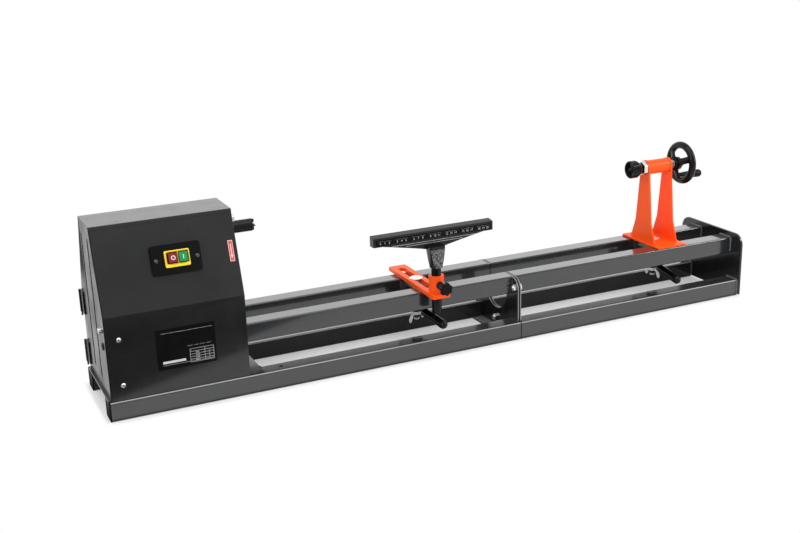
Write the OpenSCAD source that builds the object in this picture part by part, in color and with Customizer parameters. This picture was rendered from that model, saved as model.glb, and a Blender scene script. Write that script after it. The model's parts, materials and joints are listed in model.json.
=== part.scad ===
// Benchtop wood lathe on a two-piece bed of square tube.
// The origin is the middle of the four bench bolt holes, on the bench, at the bed joint.
// X runs along the bed toward the tailstock, Y toward the back and Z up, in millimetres.

/* [Bed] */
// Length of the left half of the bed, from the rail ends to the joint
bed_left = 869; // [820:1:1000]
// Length of the right half of the bed, from the joint to the end plate
bed_right = 578.7; // [520:0.1:700]
// Outer width of the square tube
tube = 38; // [34:0.5:40]
// Wall of the square tube
tube_wall = 2; // [1.5:0.1:3]
// Outer corner radius of the square tube
tube_corner = 3.5; // [2.5:0.1:5]
// Gap between the two upper rails
upper_gap = 66; // [60:0.1:72]
// Gap between the two lower rails
lower_gap = 126; // [118:0.5:130]
// Height of the bed surface above the bench
bed_top = 132.5; // [128:0.5:145]
// Thickness of each joint plate
joint_t = 4; // [3:0.1:6]
// Half width of the joint plates
joint_half = 93; // [91:0.5:98]
// Radius of the upper corners of the joint plates and the end plate
plate_corner = 25; // [12:0.5:28]
// Radius of the round opening in the joint plates
notch_r = 46; // [40:0.5:48]
// Height of the middle of that opening
notch_z = 89; // [86:0.5:92]
// Depth of the foot folded from the left joint plate
foot_len = 24; // [15:0.5:35]
// Thickness of that foot
foot_t = 3; // [2:0.1:4]
// Diameter of the bed joint bolts
joint_bolt_d = 8; // [6:0.1:10]
// Distance of the outer joint bolts from the middle plane
joint_bolt_y = 81.4; // [79:0.1:84]
// Height of the outer joint bolts
joint_bolt_z = 110.7; // [90:0.1:113]
// Height of the lower joint bolt
low_bolt_z = 20; // [14:0.5:28]
// Half width of the end plate
end_half = 106; // [99:0.5:112]
// Height of the end plate
end_top = 145; // [136:0.5:160]
// Thickness of the end plate
end_t = 5.5; // [3:0.1:8]
// Height of the lower edge of the end plate above the bench
end_low = 3; // [0:0.5:8]
// Thickness of the plastic caps in the open rail ends
cap_t = 2.5; // [2:0.1:4]
// Distance of the bench bolt holes from the end plate
bench_inset = 47.7; // [30:0.1:70]
// Diameter of the bench bolt holes
bench_d = 8.5; // [6:0.1:11]

/* [Headstock] */
// Length of the headstock housing
head_len = 265.5; // [250:0.5:290]
// Distance of the housing from the left rail ends
head_inset = 4.8; // [3:0.1:12]
// Half width of the housing at its foot
head_half = 97; // [94:0.5:104]
// Height at which the front begins to lean back
knee_z = 200; // [190:0.5:215]
// Half width of the housing at its top
top_half = 46; // [44:0.5:54]
// Height of the top of the housing above the spindle
head_top = 49.1; // [46:0.1:60]
// Sheet thickness of the front, back and top panels
sheet = 1.2; // [1:0.1:2]
// Width of the lip that the top panel folds over the front and back
lip = 5; // [4:0.5:10]
// Thickness of the base plate
base_t = 2.5; // [2:0.1:4]
// Length of the base plate
base_len = 299; // [285:0.5:310]
// Thickness of the right side plate and of the inner plate
side_t = 3; // [2:0.1:4]
// Distance of the inner plate from the left end of the housing
inner_x = 87.2; // [85:0.1:95]
// Half width of the inner plate
inner_half = 70; // [64:0.5:90]
// Sheet thickness of the side door
door_t = 1.5; // [1:0.1:2.5]
// Width of the flange that the door closes on
flange_w = 12; // [8:0.5:16]
// Distance of the two pressed grooves of the door from the middle plane
groove_y = 29; // [20:0.5:38]
// Width of the pressed grooves of the door
groove_w = 3; // [2:0.1:6]
// Height of one door hinge
hinge_h = 45; // [40:0.5:60]
// Heights at which the two door hinges start
hinge_z = [51.4, 154.5];
// Diameter of the hinge knuckles
knuckle_d = 6; // [5:0.1:9]
// Diameter of the hinge pins
hinge_pin_d = 3.6; // [2.5:0.1:5.5]
// Height of the door latch screw
latch_z = 172; // [150:0.5:185]
// Distance of the door latch screw from the middle plane
latch_y = 77; // [50:0.5:80]
// Distance of the panel screws from the left rail ends
screw_x = 29.8; // [24:0.1:40]
// Heights of the panel screws
screw_z = [67, 155.8];
// Diameter of the panel and switch screw heads
screw_head_d = 9; // [7:0.1:11]
// Distance of the data plate from the left rail ends
plate_x = 96; // [80:0.5:110]
// Height of the lower edge of the data plate
plate_z = 81; // [70:0.5:100]
// Length of the data plate
plate_w = 112; // [90:0.5:130]
// Height of the data plate
plate_h = 79.5; // [60:0.5:90]
// Thickness of the data plate
plate_t = 0.6; // [0.4:0.1:1.5]
// Distance of the middle of the direction sticker from the left rail ends
sticker_x = 258.5; // [240:0.5:262]
// Distance of the middle of the direction sticker up the sloping front
sticker_s = 86.2; // [60:0.1:110]
// Width of the direction sticker
sticker_w = 9; // [7:0.1:12]
// Height of the direction sticker
sticker_h = 39.5; // [30:0.5:50]
// Thickness of the direction sticker
sticker_t = 0.3; // [0.2:0.1:1]

/* [Spindle] */
// Height of the spindle above the bed surface
centre_height = 174.4; // [165:0.1:180]
// Diameter of the spindle
spindle_d = 20; // [16:0.1:22]
// Diameter of the threaded spindle nose
nose_d = 18; // [14:0.1:19]
// Diameter of the drive centre
drive_d = 24.5; // [22:0.1:30]
// Length of the body of the drive centre
drive_len = 50; // [40:0.5:60]
// Length of the four prongs and the point of the drive centre
prong_len = 5.5; // [3:0.1:8]
// Outer diameter of the spindle bearings
bearing_d = 47; // [42:0.5:50]
// Width of the spindle bearings
bearing_w = 14; // [12:0.5:16]
// Distance of the bearing bolts from the spindle, across the bed
bearing_bolt_y = 42; // [38:0.5:43]
// Distance of the bearing bolts from the spindle, upward
bearing_bolt_z = 30; // [26:0.5:32]
// Diameter of the bearing bolts
bearing_bolt_d = 8; // [6:0.1:8]
// How much smaller each groove of the spindle pulley is than the one at the door
spindle_steps = [0, 14.1, 26.6, 39.5];
// Groove diameters of the motor pulley, from the door inward
motor_steps = [56.7, 70.8, 83.3, 96.2];
// Width of one pulley step
step_w = 15.5; // [14:0.1:16]
// Height of the motor shaft
motor_z = 130; // [125:0.5:140]
// Diameter of the motor
motor_d = 120; // [100:1:140]
// Length of the motor
motor_len = 140; // [110:1:155]
// Diameter of the motor shaft
shaft_d = 14; // [12:0.1:18]

/* [Switch] */
// Distance of the middle of the switch from the left rail ends
switch_x = 152.5; // [140:0.5:170]
// Distance of the middle of the switch up the sloping front
switch_s = 87; // [70:0.5:100]
// Length of the switch box
switch_w = 91; // [86:0.5:100]
// Height of the switch box
switch_h = 56; // [50:0.5:64]
// Depth of the switch box outside the front
switch_t = 12; // [9:0.5:18]
// Length of the yellow frame
frame_w = 46.5; // [40:0.5:60]
// Height of the yellow frame
frame_h = 31; // [26:0.5:36]
// Thickness of the yellow frame
frame_t = 3; // [2:0.1:5]
// Length of the stop button
stop_w = 17; // [14:0.1:18]
// Length of the start button
start_w = 15; // [12:0.1:16]
// Height of the two buttons
button_h = 17.4; // [14:0.1:20]
// Distance between the middles of the buttons
button_gap = 19; // [18.5:0.1:22]
// Stand of the buttons above the frame
button_out = 4; // [3.2:0.1:6]
// Stroke of the buttons
button_travel = 3; // [2:0.1:4]

/* [Clamps] */
// Diameter of the carriage bolts
clamp_bolt_d = 12; // [10:0.1:12.5]
// Diameter of their domed heads
dome_d = 28; // [24:0.5:32]
// Height of their domed heads
dome_h = 4.5; // [3.5:0.1:9]
// Length of the clamp plates along the bed
clamp_w = 50; // [40:0.5:60]
// Length of the clamp plates across the bed
clamp_l = 84; // [78:0.5:100]
// Thickness of the clamp plates
clamp_t = 8; // [6:0.1:10]
// Diameter of the lever hubs
hub_d = 24; // [20:0.5:28]
// Height of the lever hubs
hub_h = 17; // [14:0.5:20]
// Reach of the lever grips from the bolt
lever_reach = 102; // [80:0.5:110]
// Length of the lever grips
grip_len = 78; // [40:0.5:84]
// Diameter of the lever grips
grip_d = 18.5; // [13:0.1:20]
// Droop of the levers
lever_drop = 9; // [4:0.5:14]
// Turn of the lever under the tool rest
rest_lever_turn = 10.6; // [-30:0.1:30]
// Turn of the lever under the tailstock
tail_lever_turn = -1; // [-30:0.1:30]
// Span of the wing nuts
wing_span = 39; // [34:0.5:46]
// Height of the wing nuts
wing_h = 27; // [20:0.5:29]
// Turn of the wing nut under the tool rest
rest_wing_turn = 40; // [-90:1:90]
// Turn of the wing nut under the tailstock
tail_wing_turn = -65; // [-90:1:90]

/* [Tool rest] */
// Position of the tool rest bolt along the bed
rest_x = -197; // [-400:1:-60]
// Turn of the banjo away from square
banjo_turn = -1; // [-15:0.1:15]
// Width of the banjo plate
banjo_w = 39; // [34:0.5:46]
// Thickness of the banjo plate
banjo_t = 8; // [6:0.1:12]
// Reach of the banjo plate behind the bolt
banjo_back = 98; // [90:0.5:115]
// Reach of the banjo plate in front of the bolt
banjo_front = 124.6; // [120:0.1:140]
// Width of the banjo slot
slot_w = 15; // [13.5:0.1:18]
// End of the slot behind the bolt
slot_back = 79; // [60:0.5:84]
// End of the slot in front of the bolt
slot_front = 72; // [50:0.5:78]
// Distance of the tool post from the bolt
post_reach = 100; // [97:0.5:106]
// Diameter of the tool post
post_d = 20; // [16:0.1:24]
// Height of the lower end of the tool post
post_bottom = 95; // [90:0.5:130]
// Outer diameter of the sleeve on the banjo
sleeve_d = 31; // [29:0.5:36]
// Height of the sleeve
sleeve_h = 35; // [28:0.5:42]
// Diameter of the star knob
star_d = 27.5; // [20:0.5:34]
// Length of the star knob
star_len = 12; // [9:0.5:22]
// Length of the collar between the sleeve and the star knob
star_stub = 21.5; // [4:0.5:24]
// Diameter of that collar
star_collar_d = 16; // [12:0.5:18]
// Diameter of the star knob screw
star_screw_d = 8; // [6:0.1:10]
// Length of the tool rest
bar_len = 266.5; // [240:0.5:320]
// Offset of the middle of the tool rest from the post, along its length
bar_shift = -1; // [-6:0.1:6]
// Height of the lower edge of the tool rest
bar_z = 251; // [240:0.5:262]
// Height of the front face of the tool rest
bar_h = 18.5; // [14:0.1:22]
// Depth of the tool rest
bar_t = 17; // [13:0.1:20]
// Rise of the top of the tool rest toward the back
bar_rise = 2.5; // [0.5:0.1:4]
// Distance from the post to the front face of the tool rest
bar_front = 3; // [0:0.1:8]
// Half length of the web along the lower edge of the tool rest
web_half = 110; // [80:1:118]
// Thickness of the web
web_t = 10; // [7:0.1:12]
// Width of the top of the neck
neck_top_w = 35; // [32:0.5:44]
// Width of the foot of the neck
neck_low_w = 27; // [26:0.5:34]
// Depth of the foot of the neck
neck_t = 27; // [24:0.5:30]
// Distance of the front of the neck from the post at its top
neck_front = 10; // [8:0.5:13]
// Height of the top of the neck
neck_top = 231; // [224:0.5:236]
// Height of the foot of the neck
neck_low = 193; // [186:0.5:200]
// Height of the scale strip above the lower edge of the tool rest
scale_low = 2.4; // [1:0.1:5]
// Height of the scale strip
scale_h = 11.5; // [8:0.1:13]
// Depth of the recess for the scale strip
scale_t = 0.8; // [0.5:0.1:1.5]
// Width of the border at each end of the scale strip
scale_end = 5; // [3:0.5:12]

/* [Tailstock] */
// Position of the tailstock bolt along the bed
tail_x = 413; // [80:0.5:510]
// Length of the tailstock base along the bed
tail_base_w = 76; // [74:0.5:90]
// Half width of the tailstock base
tail_base_half = 69; // [64:0.5:80]
// Plate thickness of the tailstock
tail_t = 4; // [3:0.1:6]
// Distance across the two uprights
tail_out = 64; // [60:0.5:72]
// Half width of the uprights at their foot
tail_low_half = 44.5; // [38:0.5:50]
// Half width of the uprights at their waist
tail_waist_half = 28; // [24:0.5:32]
// Height of the waist above the bed surface
tail_waist = 50; // [36:0.5:70]
// Radius of the round top of the uprights
tail_top_r = 17; // [16.5:0.1:24]
// Outer diameter of the tailstock tube
tail_tube_d = 32; // [28:0.5:34]
// Diameter of the feed screw
feed_d = 18; // [14:0.1:20]
// Gap between the tube and the handwheel
feed_gap = 13; // [8:0.1:16]
// Width of the lock nut across its flats
nut_af = 28; // [26:0.1:32]
// Thickness of the lock nut
nut_t = 10.5; // [8:0.1:14]
// Diameter of the live centre cup
cup_d = 39.5; // [32:0.5:44]
// Length of the live centre cup
cup_len = 15.5; // [10:0.5:18]
// Depth of the face of the cup
cup_depth = 6; // [3:0.1:7]
// Length of the cone behind the cup
cone_len = 14; // [10.5:0.5:16]
// Small diameter of the cone
cone_d = 24; // [22:0.5:28]
// Radius of the handwheel
wheel_r = 48.5; // [42:0.5:60]
// Diameter of the handwheel rim
rim_d = 16; // [10:0.5:18]
// Length of the handwheel hub
wheel_hub_len = 17; // [14:0.5:22]
// Diameter of the handwheel hub
wheel_hub_d = 33; // [28:0.5:38]
// Width of the handwheel spokes
spoke_w = 17; // [8:0.5:20]
// Distance of the rim from the hub face
rim_x = 24; // [18:0.5:30]
// Turn of the handwheel at rest
wheel_turn = 22; // [0:1:119]
// Angle of the crank handle
crank_turn = -118; // [-180:1:180]
// Diameter of the crank handle at its round end
crank_d = 18; // [14:0.5:22]
// Diameter of the crank handle at the rim
crank_root_d = 13.5; // [12:0.5:18]
// Length of the crank handle
crank_len = 63.5; // [30:0.5:80]

/* [Hidden] */
// Gap between pieces that move past each other
slip = 0.3;
// Gap between a pin or shaft and its bore, all round
fit = 0.05;
// Gap round a bolt in its hole, all round
play = 0.25;
// How far a cut runs past the faces that it opens
over = 1;
// Hexagon across the corners for a width across the flats
hex = 2 / sqrt(3);
// Bolt heads and nuts
head_k = 1.62;
head_h_k = 0.66;
// Height of the spindle and of the tailstock tube
axis_z = bed_top + centre_height;
// Height of the top of the housing
head_z = axis_z + head_top;
// Left rail end, housing ends and base plate
rail_x0 = -bed_left;
head_x0 = rail_x0 + head_inset;
head_x1 = head_x0 + head_len;
panel_x0 = head_x0 + door_t + slip;
base_top = tube + base_t;
// Rail places across the bed
upper_y = upper_gap / 2;
lower_y = lower_gap / 2;
joint_points = [[-joint_bolt_y, joint_bolt_z], [joint_bolt_y, joint_bolt_z], [0, low_bolt_z]];
bench_x = bed_right - bench_inset;
bench_y = lower_y + tube / 2;
rail_low = bed_top - tube;
// Lean of the front and back of the housing
lean = atan2(head_z - knee_z, head_half - top_half);
lean_k = tan((90 - lean) / 2);
top_k = tan(lean / 2);
// Inner plate and bearings
inner_x0 = head_x0 + inner_x;
inner_x1 = inner_x0 + side_t;
side_x0 = head_x1 - side_t;
flange_t = 8;
housing_d = bearing_d + 14;
housing_len = bearing_w + 2;
flange_y = 2 * (bearing_bolt_y + 8.5);
flange_z = 2 * (bearing_bolt_z + 8.5);
pulley_x0 = head_x0 + 17.2;
pulley_len = step_w * len(spindle_steps);
pulley_room = 2.45;
spindle_grooves = [for (d = spindle_steps) 2 * (head_top - pulley_room) - d];
groove_depth = 7;
belt_step = 1;
nose_x0 = head_x1 + 1.7;
drive_x1 = nose_x0 + drive_len;
drive_bore = 28;
// Door hinge axis
hinge_x = head_x0 - knuckle_d / 2;
hinge_y = head_half + knuckle_d / 2;
leaf_t = 3;
leaf_w = 24;
back_leaf_w = 20;
pin_out = 8;
// Switch on the sloping front
switch_cx = rail_x0 + switch_x;
body_w = switch_w - 28;
body_h = switch_h - 14;
body_deep = 24;
pocket_deep = button_travel + 3.5;
frame_shift = 0.5;
buttons_x = 1;
stop_x = buttons_x - button_gap / 2 + (stop_w - start_w) / 4;
start_x = stop_x + button_gap;
button_s = 2;
button_in = pocket_deep - button_travel - slip;
// Clamp heights
seat_z = bed_top + slip;
plate_low = rail_low - slip - clamp_t;
hub_top = plate_low - slip;
wing_top = hub_top - hub_h - slip;
bolt_low = wing_top - wing_h + 8;
banjo_top = seat_z + banjo_t;
tail_top = seat_z + tail_t;
sleeve_top = banjo_top + sleeve_h;
knob_z = banjo_top + sleeve_h / 2;
star_y = -post_reach - sleeve_d / 2;
// Tool rest
bar_y1 = bar_front + bar_t;
web_y0 = bar_front + 2;
neck_bore = neck_top - 10;
// Tailstock along the bed
tail_x0 = tail_x - tail_out / 2;
tail_x1 = tail_x + tail_out / 2;
nut_x0 = tail_x0 - slip - nut_t;
cone_x1 = nut_x0 - 1;
cone_x0 = cone_x1 - cone_len;
cup_x1 = cone_x0 - slip;
cup_x0 = cup_x1 - cup_len;
stub_d = 14;
journal_d = 12;
hub_x0 = tail_x1 + feed_gap;
hub_x1 = hub_x0 + wheel_hub_len;
rim_r = wheel_r - rim_d / 2;
rim_cx = hub_x0 + rim_x;
crank_x0 = rim_cx + rim_d / 2 + slip;
crank_pin_d = 8;
cyl_fn = 72;
// Panel screws and the latch screw of the door
screw_d = 4.5;
latch_d = 6;
// Boss of the motor in the inner plate, and the bore for its shaft
motor_boss_d = 40;
motor_bore = 40;
// Cable gland in the back panel
gland_x = head_x1 - 28;
gland_z = 70;
gland_d = 16;
gland_bore = 7.5;
// Cooling slots in the back panel
vent_n = 10;
vent_w = 4;
vent_step = 10;
vent_h = 34;
vent_inset = 150;
vent_x = head_x1 - vent_inset;
vent_z = 120;

// A cylinder along X from one place to another, on the given height
module xcyl(d, x0, x1, z = 0, d2 = -1) {
  translate([x0, 0, z]) rotate([0, 90, 0])
    cylinder(d1 = d, d2 = d2 < 0 ? d : d2, h = x1 - x0, $fn = cyl_fn);
}

// A flat shape in Y and Z, thick along X
module yz(x0, x1) {
  translate([x0, 0, 0]) rotate([90, 0, 90]) linear_extrude(x1 - x0) children();
}

module round_rect(w, h, r) {
  square([w - 2 * r, h], center = true);
  square([w, h - 2 * r], center = true);
  for (sx = [-1, 1], sy = [-1, 1])
    translate([sx * (w / 2 - r), sy * (h / 2 - r)]) circle(r = r, $fn = 32);
}

module tube_shape() {
  difference() {
    round_rect(tube, tube, tube_corner);
    round_rect(tube - 2 * tube_wall, tube - 2 * tube_wall, tube_corner - tube_wall);
  }
}

module rail_pair(x0, x1, y, z) {
  for (s = [-1, 1])
    yz(x0, x1) translate([s * (y + tube / 2), z + tube / 2]) tube_shape();
}

module bench_holes(x) {
  for (s = [-1, 1])
    translate([x, s * bench_y, -over])
      cylinder(d = bench_d, h = tube + 2 * over, $fn = 48);
}

module left_lower_rails() {
  color("dimgray") difference() {
    rail_pair(rail_x0 + cap_t, 0, lower_y, 0);
    bench_holes(-bench_x);
  }
}

module right_lower_rails() {
  color("dimgray") difference() {
    rail_pair(0, bed_right, lower_y, 0);
    bench_holes(bench_x);
  }
}

module left_upper_rails() {
  color("gray") rail_pair(head_x1, -joint_t, upper_y, rail_low);
}

module right_upper_rails() {
  color("gray") rail_pair(joint_t, bed_right, upper_y, rail_low);
}

// Outline of a joint plate: between the lower rails, on them and up to the bed surface
module joint_shape() {
  top = bed_top - 1;
  shoulder = joint_half - plate_corner;
  difference() {
    union() {
      translate([-lower_y, 0]) square([lower_gap, tube]);
      translate([-joint_half, tube]) square([2 * joint_half, top - plate_corner - tube]);
      translate([-shoulder, tube]) square([2 * shoulder, top - tube]);
      for (s = [-1, 1])
        translate([s * shoulder, top - plate_corner]) circle(r = plate_corner, $fn = 72);
    }
    translate([0, notch_z]) circle(r = notch_r, $fn = 96);
    translate([-upper_y, notch_z]) square([upper_gap, bed_top]);
    joint_bolt_places() circle(d = joint_bolt_d + 2 * play, $fn = 32);
  }
}

module joint_bolt_places() {
  for (p = joint_points) translate(p) children();
}

module left_joint_plate() {
  color("gray") {
    yz(-joint_t, 0) joint_shape();
    translate([-joint_t - foot_len, -lower_y, 0]) cube([foot_len, lower_gap, foot_t]);
  }
}

module right_joint_plate() {
  color("gray") yz(0, joint_t) joint_shape();
}

// A bolt along X with its hexagon head on the right and its nut on the left
module bolt_x(d, x0, x1) {
  nut_h = d * 0.8;
  xcyl(d, x0 - nut_h - d / 4, x1 + d * head_h_k / 2);
  translate([x1, 0, 0]) rotate([0, 90, 0])
    cylinder(d = d * head_k * hex, h = d * head_h_k, $fn = 6);
  translate([x0 - nut_h, 0, 0]) rotate([0, 90, 0])
    cylinder(d = d * head_k * hex, h = nut_h, $fn = 6);
}

module joint_bolts() {
  color("silver") for (p = joint_points)
    translate([0, p[0], p[1]]) bolt_x(joint_bolt_d, -joint_t, joint_t);
}

module end_plate() {
  shoulder = end_half - plate_corner;
  color("gray") yz(bed_right, bed_right + end_t) {
    translate([-end_half, end_low])
      square([2 * end_half, end_top - plate_corner - end_low]);
    translate([-shoulder, end_low]) square([2 * shoulder, end_top - end_low]);
    for (s = [-1, 1])
      translate([s * shoulder, end_top - plate_corner]) circle(r = plate_corner, $fn = 72);
  }
}

module rail_end_caps() {
  plug = 14;
  inside = tube - 2 * tube_wall - 2 * fit;
  color("black") for (s = [-1, 1]) {
    yz(rail_x0, rail_x0 + cap_t) translate([s * bench_y, tube / 2])
      round_rect(tube, tube, tube_corner);
    yz(rail_x0 + cap_t, rail_x0 + cap_t + plug) translate([s * bench_y, tube / 2])
      difference() {
        round_rect(inside, inside, tube_corner - tube_wall);
        square(inside - 4, center = true);
      }
  }
}

// Corner points of the housing in Y and Z, drawn in by t
function head_shape(t, low) = [
  [-head_half + t, low], [-head_half + t, knee_z - t * lean_k],
  [-top_half + t * top_k, head_z - t], [top_half - t * top_k, head_z - t],
  [head_half - t, knee_z - t * lean_k], [head_half - t, low]
];

module headstock_base() {
  half = head_half - sheet - slip;
  color("gray") difference() {
    translate([rail_x0, -half, tube]) cube([base_len, 2 * half, base_t]);
    translate([inner_x1 + motor_len / 2, 0, tube - over])
      cylinder(d = 60, h = base_t + 2 * over, $fn = 48);
  }
}

// One sheet of the housing, from the rails up to the top panel
module side_sheet() {
  edge = top_half - sheet / sin(lean);
  polygon([[-head_half, tube + slip], [-head_half, knee_z], [-top_half, head_z],
    [-edge, head_z], [-head_half + sheet, knee_z - sheet * lean_k],
    [-head_half + sheet, tube + slip]]);
}

// Puts what is drawn flat onto the sloping front: X stays, Y runs up the slope
module on_slope(x, s) {
  translate([x, -head_half, knee_z]) rotate([lean, 0, 0]) translate([0, s, 0]) children();
}

module front_panel() {
  color("dimgray") difference() {
    yz(panel_x0, head_x1) side_sheet();
    on_slope(switch_cx, switch_s)
      cube([body_w + 2 * play, body_h + 2 * play, 4 * sheet], center = true);
    panel_screw_holes();
  }
}

module back_panel() {
  color("dimgray") difference() {
    mirror([0, 1, 0]) yz(panel_x0, head_x1) side_sheet();
    mirror([0, 1, 0]) panel_screw_holes();
    translate([gland_x, head_half - 2 * sheet, gland_z]) rotate([-90, 0, 0])
      cylinder(d = gland_d + 2 * fit, h = 3 * sheet, $fn = 48);
    for (x = [0 : vent_n - 1])
      translate([vent_x + x * vent_step, head_half - 2 * sheet, vent_z])
        cube([vent_w, 3 * sheet, vent_h]);
  }
}

module panel_screw_holes() {
  for (z = screw_z)
    translate([rail_x0 + screw_x, -head_half - sheet, z]) rotate([-90, 0, 0])
      cylinder(d = screw_d + 2 * fit, h = 4 * sheet, $fn = 32);
}

module top_panel() {
  color("dimgray") yz(head_x0, head_x1) difference() {
    intersection() {
      polygon(head_shape(-sheet, knee_z));
      translate([-head_half, head_z - lip]) square([2 * head_half, lip + 2 * sheet]);
    }
    polygon(head_shape(0, knee_z));
  }
}

module bearing_bolt_places() {
  for (sy = [-1, 1], sz = [-1, 1])
    translate([sy * bearing_bolt_y, axis_z + sz * bearing_bolt_z]) children();
}

module right_side_plate() {
  color("dimgray") yz(side_x0, head_x1) difference() {
    polygon(head_shape(sheet, base_top));
    translate([0, axis_z]) circle(d = bearing_d - 10, $fn = 72);
    bearing_bolt_places() circle(d = bearing_bolt_d + 2 * play, $fn = 32);
  }
}

// The plate inside the housing that carries the left bearing and the motor
module inner_plate() {
  color("silver") yz(inner_x0, inner_x1) difference() {
    intersection() {
      polygon(head_shape(sheet + slip, base_top));
      translate([-inner_half, base_top]) square([2 * inner_half, head_z]);
    }
    translate([0, axis_z]) circle(d = bearing_d - 10, $fn = 72);
    translate([0, motor_z]) circle(d = motor_boss_d + 2 * play, $fn = 72);
    bearing_bolt_places() circle(d = bearing_bolt_d + 2 * play, $fn = 32);
  }
}

// The flange inside the left end of the housing that the door closes on
module door_frame() {
  color("dimgray") yz(panel_x0, panel_x0 + side_t) difference() {
    polygon(head_shape(sheet, base_top));
    difference() {
      polygon(head_shape(sheet + flange_w, base_top + flange_w));
      translate([-head_half, latch_z - flange_w])
        square([head_half - latch_y + flange_w, 2 * flange_w]);
    }
    translate([-latch_y, latch_z]) circle(d = latch_d + 2 * fit, $fn = 32);
  }
}

// A pan head screw standing on its face, point down, with a cross recess
module pan_screw(d, head_d, len) {
  difference() {
    union() {
      cylinder(d = head_d, h = head_d * 0.16, $fn = 48);
      translate([0, 0, head_d * 0.16])
        cylinder(d1 = head_d, d2 = head_d * 0.68, h = head_d * 0.16, $fn = 48);
      translate([0, 0, -len]) cylinder(d = d, h = len, $fn = 32);
    }
    for (a = [0, 90]) rotate([0, 0, a]) translate([0, 0, head_d * 0.32])
      cube([head_d * 0.5, head_d * 0.12, head_d * 0.3], center = true);
  }
}

module panel_screws() {
  color("silver") for (z = screw_z, s = [0, 1])
    mirror([0, s, 0]) translate([rail_x0 + screw_x, -head_half, z]) rotate([90, 0, 0])
      pan_screw(screw_d, screw_head_d, 8);
}

module data_plate() {
  color("lightgray") translate([rail_x0 + plate_x, -head_half - plate_t, plate_z])
    cube([plate_w, plate_t, plate_h]);
}

// One flanged housing lying to the left of the given face
module housing(x1) {
  color("silver") difference() {
    union() {
      yz(x1 - flange_t, x1) intersection() {
        translate([0, axis_z]) round_rect(flange_y, flange_z, 8);
        polygon(head_shape(sheet + slip, base_top));
      }
      xcyl(housing_d, x1 - housing_len, x1, axis_z);
    }
    xcyl(bearing_d, x1 - housing_len + 2, x1 + over, axis_z);
    xcyl(spindle_d + 6, x1 - housing_len - over, x1, axis_z);
    for (sy = [-1, 1], sz = [-1, 1])
      translate([0, sy * bearing_bolt_y, sz * bearing_bolt_z])
        xcyl(bearing_bolt_d + 2 * play, x1 - flange_t - over, x1 + over, axis_z);
  }
}

module bearing_housings() {
  housing(side_x0);
  translate([2 * inner_x1, 0, 0]) mirror([1, 0, 0]) housing(inner_x1);
}

module bearing(x0) {
  difference() {
    xcyl(bearing_d - 2 * fit, x0, x0 + bearing_w, axis_z);
    xcyl(spindle_d + 2 * fit, x0 - over, x0 + bearing_w + over, axis_z);
    for (x = [x0 - over, x0 + bearing_w - 1])
      difference() {
        xcyl(bearing_d - 9, x, x + 1 + over, axis_z);
        xcyl(spindle_d + 8, x - over, x + 2 + 2 * over, axis_z);
      }
  }
}

module bearings() {
  color("silver") {
    bearing(side_x0 - bearing_w);
    bearing(inner_x1);
  }
}

module bearing_bolts() {
  color("silver") for (sy = [-1, 1], sz = [-1, 1])
    translate([0, sy * bearing_bolt_y, axis_z + sz * bearing_bolt_z]) {
      bolt_x(bearing_bolt_d, side_x0 - flange_t, head_x1);
      translate([inner_x1 + inner_x0, 0, 0]) mirror([1, 0, 0])
        bolt_x(bearing_bolt_d, inner_x0 - flange_t, inner_x1);
    }
}

module motor() {
  x1 = inner_x1 + motor_len;
  color("slategray") difference() {
    union() {
      xcyl(motor_d, inner_x1 + 12, x1 - 16, motor_z);
      xcyl(motor_d - 12, inner_x1, inner_x1 + 12, motor_z);
      xcyl(motor_d - 6, x1 - 16, x1, motor_z);
      xcyl(motor_boss_d, inner_x0, inner_x1 + 1, motor_z);
      for (a = [20 : 20 : 160])
        translate([inner_x1 + 18, 0, motor_z]) rotate([a, 0, 0])
          translate([0, motor_d / 2 - 1, -1]) cube([motor_len - 40, 4, 2]);
    }
    xcyl(shaft_d + 2 * fit, inner_x0 - over, inner_x1 + motor_bore, motor_z);
  }
}

module motor_shaft() {
  color("silver") xcyl(shaft_d, pulley_x0 - 4, inner_x1 + motor_bore - slip, motor_z);
}

// Half section of a stepped belt pulley: radius and place along its axis
function step_points(d, n) = [
  [d / 2, n * step_w], [d / 2, n * step_w + 2.5],
  [d / 2 - groove_depth, n * step_w + 5], [d / 2 - groove_depth, (n + 1) * step_w - 5],
  [d / 2, (n + 1) * step_w - 2.5], [d / 2, (n + 1) * step_w]
];

module stepped_pulley(steps, bore, z) {
  pts = [for (n = [0 : len(steps) - 1]) each step_points(steps[n], n)];
  translate([pulley_x0, 0, z]) rotate([0, 90, 0]) rotate_extrude($fn = 96)
    polygon(concat([[bore / 2 + fit, 0]], pts, [[bore / 2 + fit, pulley_len]]));
}

module spindle_pulley() {
  color("silver") stepped_pulley(spindle_grooves, spindle_d, axis_z);
}

module motor_pulley() {
  color("silver") stepped_pulley(motor_steps, shaft_d, motor_z);
}

// The outline of a belt that stands off both pulleys by t
function belt_loop(t) =
  let (r1 = spindle_grooves[belt_step] / 2 - groove_depth + t,
    r2 = motor_steps[belt_step] / 2 - groove_depth + t,
    a = asin((r2 - r1) / (axis_z - motor_z)),
    n = 30)
  concat(
    [for (k = [0 : n]) let (u = a + k * (180 - 2 * a) / n)
      [r1 * cos(u), axis_z + r1 * sin(u)]],
    [for (k = [0 : n]) let (u = 180 - a + k * (180 + 2 * a) / n)
      [r2 * cos(u), motor_z + r2 * sin(u)]]
  );

module drive_belt() {
  x = pulley_x0 + (belt_step + 0.5) * step_w;
  color("black") yz(x - 2.7, x + 2.7) difference() {
    polygon(belt_loop(groove_depth - 0.5));
    polygon(belt_loop(1.6));
  }
}

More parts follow.
